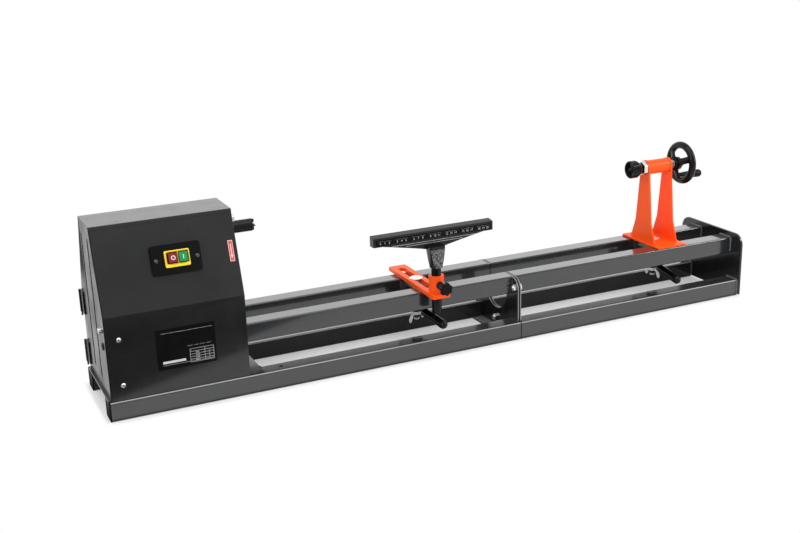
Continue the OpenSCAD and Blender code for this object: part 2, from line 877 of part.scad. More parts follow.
module spindle() {
  nut_h = 9;
  color("silver") {
    xcyl(spindle_d, pulley_x0 - 1, head_x1 - 1, axis_z);
    xcyl(nose_d, head_x1 - 2, nose_x0 + drive_bore - slip, axis_z);
    xcyl(spindle_d - 4, pulley_x0 - nut_h - 3, pulley_x0, axis_z);
    translate([pulley_x0 - nut_h - 1, 0, axis_z]) rotate([0, 90, 0])
      cylinder(d = 24 * hex, h = nut_h, $fn = 6);
  }
}

// The drive centre with four prongs round a point
module drive_centre() {
  point_d = 7;
  color("black") {
    difference() {
      xcyl(drive_d, nose_x0, drive_x1, axis_z);
      xcyl(nose_d + 2 * fit, nose_x0 - over, nose_x0 + drive_bore, axis_z);
      translate([nose_x0 + 10, 0, axis_z]) cylinder(d = 6, h = drive_d, $fn = 32);
    }
    xcyl(point_d, drive_x1, drive_x1 + prong_len + 2, axis_z, 0.6);
    intersection() {
      for (a = [0 : 90 : 270])
        translate([drive_x1 - 1, 0, axis_z]) rotate([a, 0, 0])
          translate([0, point_d / 2 + 0.6, 0]) rotate([90, 0, 90])
            linear_extrude(prong_len + 1)
              polygon([[0, -0.4], [drive_d / 2, -1.4], [drive_d / 2, 1.4], [0, 0.4]]);
      xcyl(drive_d, drive_x1 - 1, drive_x1 + prong_len, axis_z, drive_d - 3);
    }
  }
}

module switch_box() {
  color("#222222") difference() {
    on_slope(switch_cx, switch_s) {
      linear_extrude(switch_t) round_rect(switch_w, switch_h, 5);
      translate([0, 0, -body_deep]) linear_extrude(body_deep + 1)
        round_rect(body_w, body_h, 3);
    }
    on_slope(switch_cx, switch_s) {
      button_space(switch_t - pocket_deep, switch_t + over);
      for (s = [-1, 1]) translate([s * (switch_w / 2 - 7), 0, switch_t - 6])
        cylinder(d = screw_d + 2 * fit, h = 6 + over, $fn = 32);
    }
  }
}

// Room for both buttons between two heights above the panel
module button_space(n0, n1) {
  translate([stop_x, button_s, n0]) linear_extrude(n1 - n0)
    round_rect(stop_w + 2 * slip, button_h + 2 * slip, 1.5);
  translate([start_x, button_s, n0]) linear_extrude(n1 - n0)
    round_rect(start_w + 2 * slip, button_h + 2 * slip, 1.5);
}

module switch_frame() {
  color("yellow") difference() {
    on_slope(switch_cx, switch_s) translate([frame_shift, frame_shift, switch_t])
      linear_extrude(frame_t) round_rect(frame_w, frame_h, 2.5);
    on_slope(switch_cx, switch_s) button_space(switch_t - over, switch_t + frame_t + over);
  }
}

module button(x, w) {
  n0 = switch_t - button_in;
  n1 = switch_t + frame_t + button_out;
  on_slope(switch_cx, switch_s) translate([x, button_s, n0])
    linear_extrude(n1 - n0) round_rect(w, button_h, 1.5);
}

module stop_button() {
  color("maroon") button(stop_x, stop_w);
}

module start_button() {
  color("green") button(start_x, start_w);
}

module switch_screws() {
  color("silver") for (s = [-1, 1]) on_slope(switch_cx + s * (switch_w / 2 - 7), switch_s)
    translate([0, 0, switch_t]) pan_screw(screw_d, screw_head_d * 0.8, 5);
}

module cable_gland() {
  color("black") translate([gland_x, head_half, gland_z]) rotate([-90, 0, 0])
    difference() {
      union() {
        cylinder(d = gland_d + 6, h = 4, $fn = 6);
        cylinder(d1 = gland_d + 2, d2 = gland_d - 4, h = 13, $fn = 48);
        translate([0, 0, -9]) cylinder(d = gland_d, h = 10, $fn = 48);
        translate([0, 0, -sheet - 4]) cylinder(d = gland_d + 6, h = 4, $fn = 6);
      }
      translate([0, 0, -9 - over]) cylinder(d = gland_bore, h = 22 + 2 * over, $fn = 48);
    }
}

module direction_sticker() {
  color("red") on_slope(rail_x0 + sticker_x, sticker_s) translate([0, 0, sticker_t / 2])
    cube([sticker_w, sticker_h, sticker_t], center = true);
}

// The hinge halves on the back panel, each with its pin
module hinge_leaves() {
  color("black") for (z = hinge_z) {
    half = hinge_h / 2 - slip / 2;
    translate([hinge_x, hinge_y, z]) cylinder(d = knuckle_d, h = half, $fn = 48);
    translate([hinge_x, head_half, z]) cube([back_leaf_w, leaf_t, half]);
    translate([hinge_x + knuckle_d / 2 + slip, head_half, z])
      cube([back_leaf_w - knuckle_d / 2 - slip, leaf_t, hinge_h]);
    translate([hinge_x, hinge_y, z - pin_out])
      cylinder(d = hinge_pin_d, h = hinge_h + pin_out - 2, $fn = 48);
  }
}

module door_leaves() {
  color("black") for (z = hinge_z) difference() {
    z1 = z + hinge_h / 2 + slip / 2;
    union() {
      translate([hinge_x, hinge_y, z1])
        cylinder(d = knuckle_d, h = hinge_h / 2 - slip / 2, $fn = 48);
      translate([head_x0 - leaf_t, hinge_y - leaf_w, z])
        cube([leaf_t, leaf_w - knuckle_d / 2 - 2, hinge_h]);
      translate([head_x0 - leaf_t, hinge_y - leaf_w, z1])
        cube([leaf_t, leaf_w, hinge_h / 2 - slip / 2]);
    }
    translate([hinge_x, hinge_y, z1 - over])
      cylinder(d = hinge_pin_d + 2 * fit, h = hinge_h / 2 - 2 + over, $fn = 48);
  }
}

module side_door() {
  low = base_top + slip;
  color("dimgray") difference() {
    union() {
      yz(head_x0, head_x0 + door_t) polygon(head_shape(slip, low));
      for (s = [-1, 1]) yz(head_x0, head_x0 + door_t + groove_w / 2)
        translate([s * groove_y - groove_w, low + 20])
          square([2 * groove_w, head_z - low - 42]);
    }
    for (s = [-1, 1]) yz(head_x0 - over, head_x0 + groove_w / 2)
      translate([s * groove_y - groove_w / 2, low + 22])
        square([groove_w, head_z - low - 46]);
    translate([0, -latch_y, latch_z])
      xcyl(latch_d + 2 * fit, head_x0 - over, head_x0 + door_t + over);
    translate([0, -latch_y + 2, latch_z - 32])
      xcyl(12, head_x0 - over, head_x0 + door_t + over);
  }
}

// The slotted latch screw that holds the door shut
module door_screw() {
  color("silver") translate([0, -latch_y, latch_z]) difference() {
    union() {
      xcyl(12, head_x0 - slip - 6, head_x0 - slip);
      xcyl(latch_d, head_x0 - slip - 1, panel_x0 + side_t + 3);
    }
    translate([head_x0 - slip - 7, -0.8, -7]) cube([2.5, 1.6, 14]);
  }
}

// A carriage bolt, its domed head seated at the given height
module carriage_bolt(seat, neck) {
  r = (dome_d * dome_d / 4 + dome_h * dome_h) / (2 * dome_h);
  intersection() {
    translate([0, 0, seat + dome_h - r]) sphere(r = r, $fn = 96);
    translate([0, 0, seat]) cylinder(d = dome_d, h = dome_h, $fn = 96);
  }
  translate([0, 0, bolt_low]) cylinder(d = clamp_bolt_d, h = seat + 1 - bolt_low, $fn = 48);
  translate([-clamp_bolt_d / 2, -clamp_bolt_d / 2, seat - neck])
    cube([clamp_bolt_d, clamp_bolt_d, neck + 1]);
}

module clamp_plate() {
  difference() {
    translate([0, 0, plate_low]) linear_extrude(clamp_t) round_rect(clamp_w, clamp_l, 4);
    translate([0, 0, plate_low - over])
      cylinder(d = clamp_bolt_d + 2 * fit, h = clamp_t + 2 * over, $fn = 48);
  }
}

// A clamp lever on its bolt: a threaded hub, an arm and a round grip
module lever(turn) {
  difference() {
    union() {
      translate([0, 0, hub_top - hub_h]) cylinder(d = hub_d, h = hub_h, $fn = 60);
      translate([0, 0, hub_top - hub_h / 2]) rotate([0, 0, turn])
        rotate([90 + lever_drop, 0, 0]) {
          cylinder(d = 10, h = lever_reach - grip_len + 2, $fn = 48);
          translate([0, 0, lever_reach - grip_len]) {
            cylinder(d1 = grip_d - 4, d2 = grip_d, h = 6, $fn = 60);
            translate([0, 0, 6])
              cylinder(d = grip_d, h = grip_len - 6 - grip_d / 2, $fn = 60);
            translate([0, 0, grip_len - grip_d / 2]) sphere(d = grip_d, $fn = 60);
          }
        }
    }
    translate([0, 0, hub_top - hub_h - over])
      cylinder(d = clamp_bolt_d + 2 * fit, h = hub_h + 2 * over, $fn = 60);
  }
}

// A wing nut under its lever hub, wings down
module wing_nut() {
  boss_h = wing_h * 0.52;
  difference() {
    union() {
      translate([0, 0, wing_top - boss_h])
        cylinder(d1 = clamp_bolt_d + 5, d2 = clamp_bolt_d + 10, h = boss_h, $fn = 60);
      for (s = [0, 180]) rotate([0, 0, s]) translate([0, 2.2, 0]) rotate([90, 0, 0])
        linear_extrude(4.4) {
          polygon([[clamp_bolt_d / 2 + 0.5, wing_top - 2],
            [wing_span / 2 - 6, wing_top - 5], [wing_span / 2, wing_top - wing_h + 9],
            [wing_span / 2 - 1, wing_top - wing_h + 3],
            [wing_span / 2 - 9, wing_top - wing_h + 3],
            [clamp_bolt_d / 2 + 0.5, wing_top - boss_h]]);
          translate([wing_span / 2 - 5, wing_top - wing_h + 5]) circle(r = 5, $fn = 48);
        }
    }
    translate([0, 0, wing_top - wing_h - over])
      cylinder(d = clamp_bolt_d + 2 * fit, h = wing_h + 2 * over, $fn = 60);
  }
}

module rest_clamp_plate() {
  color("#303030") translate([rest_x, 0, 0]) clamp_plate();
}

module rest_clamp_bolt() {
  color("silver") translate([rest_x, 0, 0]) rotate([0, 0, banjo_turn])
    carriage_bolt(banjo_top + slip, banjo_t / 2);
}

module rest_lever() {
  color("black") translate([rest_x, 0, 0]) lever(rest_lever_turn);
}

module rest_wing_nut() {
  color("silver") translate([rest_x, 0, 0]) rotate([0, 0, rest_wing_turn]) wing_nut();
}

// Puts what follows into the frame of the banjo, turned about the bolt
module at_banjo() {
  translate([rest_x, 0, 0]) rotate([0, 0, banjo_turn]) children();
}

module banjo() {
  len = banjo_front + banjo_back;
  color("orangered") at_banjo() difference() {
    union() {
      translate([0, (banjo_back - banjo_front) / 2, seat_z])
        linear_extrude(banjo_t) round_rect(banjo_w, len, 3);
      translate([0, -post_reach, seat_z])
        cylinder(d = sleeve_d, h = banjo_t + sleeve_h, $fn = 72);
    }
    translate([-slot_w / 2, -slot_front + slot_w / 2, seat_z - over])
      cube([slot_w, slot_front + slot_back - slot_w, banjo_t + 2 * over]);
    for (y = [-slot_front + slot_w / 2, slot_back - slot_w / 2])
      translate([0, y, seat_z - over])
        cylinder(d = slot_w, h = banjo_t + 2 * over, $fn = 48);
    translate([0, -post_reach, seat_z - over])
      cylinder(d = post_d + 2 * fit, h = banjo_t + sleeve_h + 2 * over, $fn = 72);
    translate([0, -post_reach, knob_z]) rotate([90, 0, 0])
      cylinder(d = star_screw_d + 2 * fit, h = sleeve_d, $fn = 48);
  }
}

// The star knob: a lobed grip on a collar and a screw that bears on the post
module star_knob() {
  lobes = 7;
  tip = sleeve_d / 2 - post_d / 2 - slip;
  color("black") at_banjo() translate([0, star_y - slip, knob_z]) rotate([90, 0, 0]) {
    cylinder(d = star_collar_d, h = star_stub + 1, $fn = 48);
    translate([0, 0, slip - tip]) cylinder(d = star_screw_d, h = tip + 1, $fn = 48);
    translate([0, 0, star_stub]) difference() {
      union() {
        cylinder(d1 = star_d - 5, d2 = star_d, h = 3, $fn = 72);
        translate([0, 0, 3]) cylinder(d = star_d, h = star_len - 5, $fn = 72);
        translate([0, 0, star_len - 2]) cylinder(d1 = star_d, d2 = star_d - 5, h = 2, $fn = 72);
      }
      for (a = [0 : lobes - 1]) rotate([0, 0, a * 360 / lobes])
        translate([star_d / 2 + 1.4, 0, -over])
          cylinder(d = 7, h = star_len + 2 * over, $fn = 32);
    }
  }
}

module rest_post() {
  color("black") at_banjo() translate([0, -post_reach, post_bottom])
    cylinder(d = post_d, h = neck_bore - slip - post_bottom, $fn = 72);
}

// Puts what follows at the tool post, with the tool rest along the bed
module at_post() {
  translate([rest_x + post_reach * sin(banjo_turn), -post_reach * cos(banjo_turn), 0])
    children();
}

// The cast tool rest: a bar with a sloping top, a web under it and a tapered neck
module rest_head() {
  low = neck_low;
  color("#202020") at_post() difference() {
    union() {
      translate([bar_shift - bar_len / 2, 0, 0]) yz(0, bar_len) polygon([
        [bar_front, bar_z], [bar_y1, bar_z], [bar_y1, bar_z + bar_h + bar_rise],
        [bar_front + 1, bar_z + bar_h], [bar_front, bar_z + bar_h - 1]]);
      translate([0, web_y0 + web_t, 0]) rotate([90, 0, 0]) linear_extrude(web_t) {
        polygon([[bar_shift - web_half, bar_z + 1], [bar_shift - web_half, bar_z - 3],
          [-neck_top_w / 2, neck_top], [neck_top_w / 2, neck_top],
          [bar_shift + web_half, bar_z - 3], [bar_shift + web_half, bar_z + 1]]);
        polygon([[-neck_top_w / 2, neck_top + 1], [-neck_top_w / 2 + 2, neck_top - 12],
          [neck_top_w / 2 - 2, neck_top - 12], [neck_top_w / 2, neck_top + 1]]);
      }
      intersection() {
        translate([0, neck_t, 0]) rotate([90, 0, 0]) linear_extrude(2 * neck_t)
          polygon([[-neck_low_w / 2, low], [neck_low_w / 2, low],
            [neck_top_w / 2, neck_top], [neck_top_w / 4, bar_z + 1],
            [-neck_top_w / 4, bar_z + 1], [-neck_top_w / 2, neck_top]]);
        yz(-neck_top_w, neck_top_w) polygon([[-neck_t / 2, low], [neck_t / 2, low],
          [web_y0 + web_t, neck_top], [web_y0 + web_t, bar_z + 1], [bar_front + 1, bar_z + 1],
          [-neck_front, neck_top]]);
      }
    }
    translate([0, 0, low - over])
      cylinder(d = post_d + 2 * fit, h = neck_bore - low + over, $fn = 72);
    translate([bar_shift - bar_len / 2 + scale_end, bar_front - over,
      bar_z + scale_low])
      cube([bar_len - 2 * scale_end, scale_t + over, scale_h]);
  }
}

module rest_scale() {
  t = scale_t - 0.3;
  color("#101010") at_post()
    translate([bar_shift - bar_len / 2 + scale_end + slip, bar_front + scale_t - t,
      bar_z + scale_low + slip])
      cube([bar_len - 2 * scale_end - 2 * slip, t, scale_h - 2 * slip]);
}

module tailstock_base() {
  color("orangered") difference() {
    translate([tail_x, 0, seat_z]) linear_extrude(tail_t)
      round_rect(tail_base_w, 2 * tail_base_half, 2);
    translate([tail_x, 0, seat_z - over])
      cylinder(d = clamp_bolt_d + 2 * play, h = tail_t + 2 * over, $fn = 48);
  }
}

// Outline of an upright: a flared foot, a waist and a round top about the tube
module upright_shape() {
  waist_z = bed_top + tail_waist;
  polygon([[-tail_low_half, tail_top], [tail_low_half, tail_top],
    [tail_waist_half, waist_z], [tail_top_r, axis_z - 20], [tail_top_r, axis_z],
    [-tail_top_r, axis_z], [-tail_top_r, axis_z - 20], [-tail_waist_half, waist_z]]);
  translate([0, axis_z]) circle(r = tail_top_r, $fn = 96);
}

module tailstock_sides() {
  color("orangered") difference() {
    union() {
      yz(tail_x0, tail_x0 + tail_t) upright_shape();
      yz(tail_x1 - tail_t, tail_x1) upright_shape();
      xcyl(tail_tube_d, tail_x0, tail_x1, axis_z);
    }
    xcyl(feed_d + 2 * fit, tail_x0 - over, tail_x1 + over, axis_z);
  }
}

module tail_clamp_bolt() {
  color("silver") translate([tail_x, 0, 0]) carriage_bolt(tail_top + slip, 0);
}

module tail_clamp_plate() {
  color("#303030") translate([tail_x, 0, 0]) clamp_plate();
}

module tail_lever() {
  color("black") translate([tail_x, 0, 0]) lever(tail_lever_turn);
}

module tail_wing_nut() {
  color("silver") translate([tail_x, 0, 0]) rotate([0, 0, tail_wing_turn]) wing_nut();
}

// The feed screw, its journal in the live centre and the nut that holds the handwheel
module tail_screw() {
  end_nut = 7;
  color("silver") {
    xcyl(feed_d, cone_x1 + slip, hub_x1 + 0.3, axis_z);
    xcyl(journal_d, cone_x1 - 9, cone_x1 + 1, axis_z);
    xcyl(journal_d, hub_x1, hub_x1 + end_nut + 3, axis_z);
    translate([hub_x1 + 0.3, 0, axis_z]) rotate([0, 90, 0])
      cylinder(d = 18 * hex, h = end_nut, $fn = 6);
  }
}

module lock_nut() {
  color("silver") difference() {
    translate([nut_x0, 0, axis_z]) rotate([0, 90, 0])
      cylinder(d = nut_af * hex, h = nut_t, $fn = 6);
    xcyl(feed_d + 2 * fit, nut_x0 - over, nut_x0 + nut_t + over, axis_z);
  }
}

module live_centre_body() {
  color("#202020") difference() {
    union() {
      xcyl(cup_d - 2, cone_x0, cone_x1, axis_z, cone_d);
      xcyl(stub_d, cup_x1 - cup_len + cup_depth + 2, cone_x0 + 1, axis_z);
    }
    xcyl(journal_d + 2 * fit, cone_x1 - 9 - slip, cone_x1 + over, axis_z);
  }
}

module live_centre_cup() {
  lip_w = 3.5;
  color("#202020") difference() {
    union() {
      difference() {
        xcyl(cup_d, cup_x0, cup_x1, axis_z);
        xcyl(cup_d - 2 * lip_w + 3, cup_x0 - 0.01, cup_x0 + cup_depth, axis_z,
          cup_d - 2 * lip_w);
      }
      translate([cup_x0 + cup_depth + 1, 0, axis_z]) rotate([0, -90, 0])
        cylinder(d1 = 16, d2 = 1, h = cup_depth + 4, $fn = 60);
    }
    xcyl(stub_d + 2 * fit, cup_x0 + cup_depth + 2 - slip, cup_x1 + over, axis_z);
  }
}

// The handwheel: hub, round rim and three raked spokes
module handwheel() {
  color("black") {
    difference() {
      xcyl(wheel_hub_d, hub_x0, hub_x1, axis_z, wheel_hub_d - 4);
      xcyl(feed_d + 2 * fit, hub_x0 - over, hub_x1 + over, axis_z);
    }
    translate([rim_cx, 0, axis_z]) rotate([0, 90, 0]) rotate_extrude($fn = 96)
      translate([rim_r, 0]) circle(d = rim_d, $fn = 48);
    for (a = [0 : 120 : 240]) translate([0, 0, axis_z]) rotate([-wheel_turn - a, 0, 0])
      translate([0, 0, -spoke_w / 2]) linear_extrude(spoke_w) polygon([
        [hub_x0 + 3, -wheel_hub_d / 2 + 4], [hub_x1 - 1, -wheel_hub_d / 2 + 4],
        [rim_cx + 4, -rim_r], [rim_cx - 5, -rim_r]]);
    crank_place() xcyl(crank_pin_d, rim_cx, crank_x0 + crank_len - 4);
  }
}

module crank_place() {
  translate([0, 0, axis_z]) rotate([-crank_turn, 0, 0]) translate([0, -rim_r, 0])
    children();
}

module crank_handle() {
  color("black") crank_place() difference() {
    union() {
      xcyl(crank_root_d, crank_x0, crank_x0 + crank_len - crank_d, 0, crank_d);
      xcyl(crank_d, crank_x0 + crank_len - crank_d, crank_x0 + crank_len - 5);
      xcyl(crank_d, crank_x0 + crank_len - 5, crank_x0 + crank_len, 0, crank_d - 6);
    }
    xcyl(crank_pin_d + 2 * fit, crank_x0 - over, crank_x0 + crank_len - 4 + slip);
  }
}

left_lower_rails();
right_lower_rails();
left_upper_rails();
right_upper_rails();
left_joint_plate();
right_joint_plate();
joint_bolts();
end_plate();
rail_end_caps();
headstock_base();
front_panel();
back_panel();
top_panel();
right_side_plate();
inner_plate();
door_frame();
panel_screws();
data_plate();
bearing_housings();
bearings();
bearing_bolts();
motor();
drive_belt();
switch_box();
switch_frame();
switch_screws();
cable_gland();
direction_sticker();
hinge_leaves();
side_door();
door_leaves();
door_screw();
spindle();
spindle_pulley();
drive_centre();
motor_shaft();
motor_pulley();
stop_button();
start_button();
rest_clamp_plate();
rest_clamp_bolt();
rest_lever();
rest_wing_nut();
banjo();
star_knob();
rest_post();
rest_head();
rest_scale();
tailstock_base();
tailstock_sides();
tail_clamp_bolt();
tail_clamp_plate();
tail_lever();
tail_wing_nut();
tail_screw();
lock_nut();
live_centre_body();
live_centre_cup();
handwheel();
crank_handle();
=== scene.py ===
import json
import math
import bpy
import bmesh
from mathutils import Matrix, Vector, noise

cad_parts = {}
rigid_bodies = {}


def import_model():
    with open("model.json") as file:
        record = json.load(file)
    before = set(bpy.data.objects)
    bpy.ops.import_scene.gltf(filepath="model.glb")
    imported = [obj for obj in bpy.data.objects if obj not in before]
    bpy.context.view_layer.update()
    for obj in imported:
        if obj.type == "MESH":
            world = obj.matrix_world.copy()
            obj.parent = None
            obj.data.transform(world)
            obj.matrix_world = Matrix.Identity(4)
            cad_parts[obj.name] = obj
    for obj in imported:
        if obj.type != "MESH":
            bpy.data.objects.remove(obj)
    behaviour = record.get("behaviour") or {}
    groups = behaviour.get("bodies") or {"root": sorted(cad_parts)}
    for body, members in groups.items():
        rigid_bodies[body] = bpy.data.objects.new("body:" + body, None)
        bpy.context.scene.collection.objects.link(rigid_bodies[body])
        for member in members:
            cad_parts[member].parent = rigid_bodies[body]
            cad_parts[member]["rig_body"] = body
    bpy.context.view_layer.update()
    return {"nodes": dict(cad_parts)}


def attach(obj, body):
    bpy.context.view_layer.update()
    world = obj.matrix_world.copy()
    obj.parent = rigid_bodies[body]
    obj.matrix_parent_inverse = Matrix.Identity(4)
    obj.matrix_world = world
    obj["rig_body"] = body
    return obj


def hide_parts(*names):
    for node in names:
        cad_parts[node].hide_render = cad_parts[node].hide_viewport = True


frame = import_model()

MM = 0.001
NODES = frame["nodes"]
scene = bpy.context.scene

# --- sizes shared with the CAD model (mm: X along the bed, Y to the back, Z up)
PLAY = 0.3                                         # air between two pieces that meet
RAIL_X0, BED_RIGHT, BED_TOP = -869.0, 578.7, 132.5
TUBE, UPPER_Y, LOWER_Y = 38.0, 33.0, 63.0          # square tubes and their inner faces
AXIS_Z = 306.9
HEAD_X0 = RAIL_X0 + 4.8
HEAD_X1 = HEAD_X0 + 265.5
HEAD_HALF, KNEE_Z, TOP_HALF, HEAD_TOP = 97.0, 200.0, 46.0, 356.0
LEAN = math.atan2(HEAD_TOP - KNEE_Z, HEAD_HALF - TOP_HALF)
PLATE_X = RAIL_X0 + 152.0
SWITCH_X, SWITCH_S = RAIL_X0 + 152.5, 87.0         # S is measured up the sloping front
STICKER_X, STICKER_S = RAIL_X0 + 258.5, 86.2
GROOVE_Y, GROOVE_W, GROOVE_H, GROOVE_Z = 29.0, 2.8, 262, 199
REST_X, TAIL_X = -197.0, 413.0
TURN = math.radians(-1.0)                          # the banjo's turn at rest
POST_OUT = 100.0
POST_X, POST_Y = REST_X + POST_OUT * math.sin(TURN), -POST_OUT * math.cos(TURN)
BANJO_TOP, BOLT_LOW = 140.8, 49.6
BAR_Z, BAR_LEN, BAR_SHIFT = 251.0, 266.5, -1.0
TAIL_X0, TAIL_X1 = TAIL_X - 32.0, TAIL_X + 32.0
HUB_X0 = TAIL_X1 + 13.0                            # the handwheel's hub
HUB_X1 = HUB_X0 + 17.0
RIM_CX, RIM_R, RIM_D = HUB_X0 + 24.0, 40.5, 16.0
LEVER_TOP, LEVER_H = 85.9, 17.0                    # the clamp levers' hubs
WING_TOP = LEVER_TOP - LEVER_H - PLAY

SIDES = ((-1, "front"), (1, "back"))


# --- shader tools
def add_node(nt, kind, put=(), **props):
    """A new node; put gives its inputs: a socket is linked, a value is set."""
    n = nt.nodes.new(kind)
    for k, v in props.items():
        setattr(n, k, v)
    for k, v in dict(put).items():
        if isinstance(v, bpy.types.NodeSocket):
            nt.links.new(v, n.inputs[k])
        else:
            n.inputs[k].default_value = v
    return n


def mathn(nt, op, *terms):
    """A maths node; each term is a socket or a number."""
    return add_node(nt, "ShaderNodeMath", dict(enumerate(terms)), operation=op).outputs[0]


def mul(nt, a, b):
    """a times b."""
    return mathn(nt, "MULTIPLY", a, b)


def sub(nt, a, b):
    """a minus b."""
    return mathn(nt, "SUBTRACT", a, b)


def most(nt, a, *others):
    """The largest of its terms."""
    for b in others:
        a = mathn(nt, "MAXIMUM", a, b)
    return a


def map_range(nt, value, v0, v1, to0=0.0, to1=1.0, how="LINEAR"):
    """to0 below v0, to1 above v1."""
    return add_node(nt, "ShaderNodeMapRange",
                    {"Value": value, "From Min": v0, "From Max": v1, "To Min": to0, "To Max": to1},
                    interpolation_type=how).outputs["Result"]


def span(nt, value, v0, v1):
    """0 below v0, 1 above v1, smooth between."""
    return map_range(nt, value, v0, v1, how="SMOOTHERSTEP")


def near(nt, value, centre, half, soft):
    """1 within half of centre, 0 from half + soft on."""
    off = mathn(nt, "ABSOLUTE", sub(nt, value, centre))
    return sub(nt, 1.0, span(nt, off, half, half + soft))


def noise_of(nt, vec, scale, detail, rough=0.5):
    """A cloudy value between 0 and 1."""
    return add_node(nt, "ShaderNodeTexNoise", {"Vector": vec, "Scale": scale, "Detail": detail,
                                               "Roughness": rough}).outputs["Fac"]


def ramp(nt, value, p0, color0, p1, color1):
    """color0 where value is below p0, color1 above p1."""
    r = add_node(nt, "ShaderNodeValToRGB", {"Fac": value})
    for e, p, color in zip(r.color_ramp.elements, (p0, p1), (color0, color1)):
        e.position = p
        e.color = (*color, 1)
    return r.outputs["Color"]


def surface(nt):
    """The material's surface input and the shader that feeds it now."""
    into = next(n for n in nt.nodes if n.type == "OUTPUT_MATERIAL").inputs[0]
    return into, into.links[0].from_socket


def material(name, color, rough=0.4, metal=0.0, coat=0.0, coat_rough=0.08, tone=0.12,
             tone_scale=9.0, rough_var=0.08, bump=0.12, bump_scale=1400.0, stretch=None,
             speck=0.0, speck_scale=350.0, speck_color=(0.6, 0.6, 0.6), spec=0.5):
    """A procedural surface: slow tone drift, fine roughness change, fine relief and specks."""
    m = bpy.data.materials.new(name)
    m.use_nodes = True
    nt = m.node_tree
    nt.nodes.clear()
    vec = add_node(nt, "ShaderNodeTexCoord").outputs["Object"]
    if stretch:
        vec = add_node(nt, "ShaderNodeMapping", {"Vector": vec, "Scale": stretch}).outputs["Vector"]
    col = ramp(nt, noise_of(nt, vec, tone_scale, 5.0, 0.6),
               0.32, [max(0.0, c * (1 - tone)) for c in color],
               0.68, [min(1.0, c * (1 + tone)) for c in color])
    if speck > 0:
        spots = ramp(nt, noise_of(nt, vec, speck_scale, 2.0),
                     1.0 - speck, (0, 0, 0), min(1.0, 1.0 - speck + 0.04), (1, 1, 1))
        # inputs 0, 6 and 7 of a colour mix are its factor and its two colours
        col = add_node(nt, "ShaderNodeMix", {0: spots, 6: col, 7: (*speck_color, 1)},
                       data_type="RGBA").outputs[2]
    worn = map_range(nt, noise_of(nt, vec, tone_scale * 5, 6.0), 0.3, 0.7,
                     max(0.02, rough - rough_var), min(1.0, rough + rough_var))
    relief = add_node(nt, "ShaderNodeBump", {"Strength": bump, "Distance": 0.0004,
                                             "Height": noise_of(nt, vec, bump_scale, 3.0)})
    paint = add_node(nt, "ShaderNodeBsdfPrincipled", {
        "Base Color": col, "Roughness": worn, "Normal": relief.outputs["Normal"],
        "Metallic": metal, "Coat Weight": coat, "Coat Roughness": coat_rough,
        "Specular IOR Level": spec})
    add_node(nt, "ShaderNodeOutputMaterial", {0: paint.outputs[0]})
    return m


def over(m, mask, color, rough, spec=0.3):
    """A second paint over the first where mask(nt, at, way) is 1; at and way hold the X, Y and Z
    of the place in metres and of the normal."""
    nt = m.node_tree
    into, first = surface(nt)
    coord = add_node(nt, "ShaderNodeTexCoord").outputs
    at = add_node(nt, "ShaderNodeSeparateXYZ", {0: coord["Object"]}).outputs
    way = add_node(nt, "ShaderNodeSeparateXYZ", {0: coord["Normal"]}).outputs
    second = add_node(nt, "ShaderNodeBsdfPrincipled", {
        "Base Color": (*color, 1), "Roughness": rough, "Specular IOR Level": spec})
    mix = add_node(nt, "ShaderNodeMixShader", {0: mask(nt, at, way), 1: first,
                                               2: second.outputs[0]})
    nt.links.new(mix.outputs[0], into)


# --- materials
RAIL = dict(color=(0.0165, 0.0175, 0.0190), rough=0.20, coat=1.0, coat_rough=0.05, tone=0.10,
            tone_scale=6, bump=0.04, bump_scale=420, rough_var=0.05)
M = {}
M["rail"] = material("rail_paint", **RAIL)
# the lower tubes' paint gets a painted highlight along the front corner, added below
M["rail_low"] = material("lower_rail_paint_with_painted_highlight", **RAIL)
M["rail_seam"] = material("seam_paint", **RAIL)
M["housing"] = material("housing_paint", (0.0088, 0.0092, 0.0098), 0.19, coat=0.3, coat_rough=0.06,
                        tone=0.40, tone_scale=5, bump=0.05, bump_scale=700, rough_var=0.07)
M["plate"] = material("plate_paint", (0.009, 0.0095, 0.0105), 0.20, coat=0.3, coat_rough=0.06,
                      tone=0.12, bump=0.05, bump_scale=500, spec=0.42)
# light grey for the joint plates' front and arch edges: a painted highlight
M["plate_edge"] = material("plate_edge_paint", (0.20, 0.20, 0.205), 0.28, coat=0.3, tone=0.20,
                           tone_scale=60, bump=0.10, bump_scale=400)
M["screw_dim"] = material("dull_screw", (0.16, 0.16, 0.165), 0.34, metal=1.0, tone=0.10,
                          tone_scale=70, bump=0.08, bump_scale=900)
M["orange"] = material("orange_paint", (0.90, 0.086, 0.006), 0.34, coat=0.06, tone=0.04,
                       tone_scale=14, bump=0.10, bump_scale=650, rough_var=0.05, spec=0.14)
M["cast"] = material("cast_paint", (0.006, 0.006, 0.0066), 0.26, tone=0.25, tone_scale=60,
                     bump=0.18, bump_scale=260, spec=0.32)
# light grey for the ribs under the rest bar: a painted highlight along their tops
M["rib_painted_highlight"] = material("cast_rib_painted_highlight", (0.34, 0.34, 0.35), 0.30, coat=0.2, tone=0.30,
                          tone_scale=70, bump=0.10, bump_scale=300)
M["weld"] = material("weld_paint", (0.075, 0.077, 0.080), 0.30, coat=0.3, coat_rough=0.12,
                     tone=0.35, tone_scale=220, bump=0.35, bump_scale=500, rough_var=0.10)
M["door"] = material("door_paint", (0.0115, 0.0120, 0.0128), 0.26, tone=0.20, tone_scale=4,
                     bump=0.05, bump_scale=700, rough_var=0.09, spec=0.24)
M["cast_rough"] = material("cast_rough_paint", (0.016, 0.016, 0.017), 0.30, coat=0.3,
                           coat_rough=0.12, tone=0.60, tone_scale=150, bump=1.0,
                           bump_scale=230, rough_var=0.15, speck=0.50, speck_scale=380,
                           speck_color=(0.16, 0.16, 0.165))
M["black_gloss"] = material("black_gloss", (0.003, 0.003, 0.0035), 0.13, tone=0.2, bump=0.04,
                            bump_scale=400, spec=0.22, rough_var=0.04)
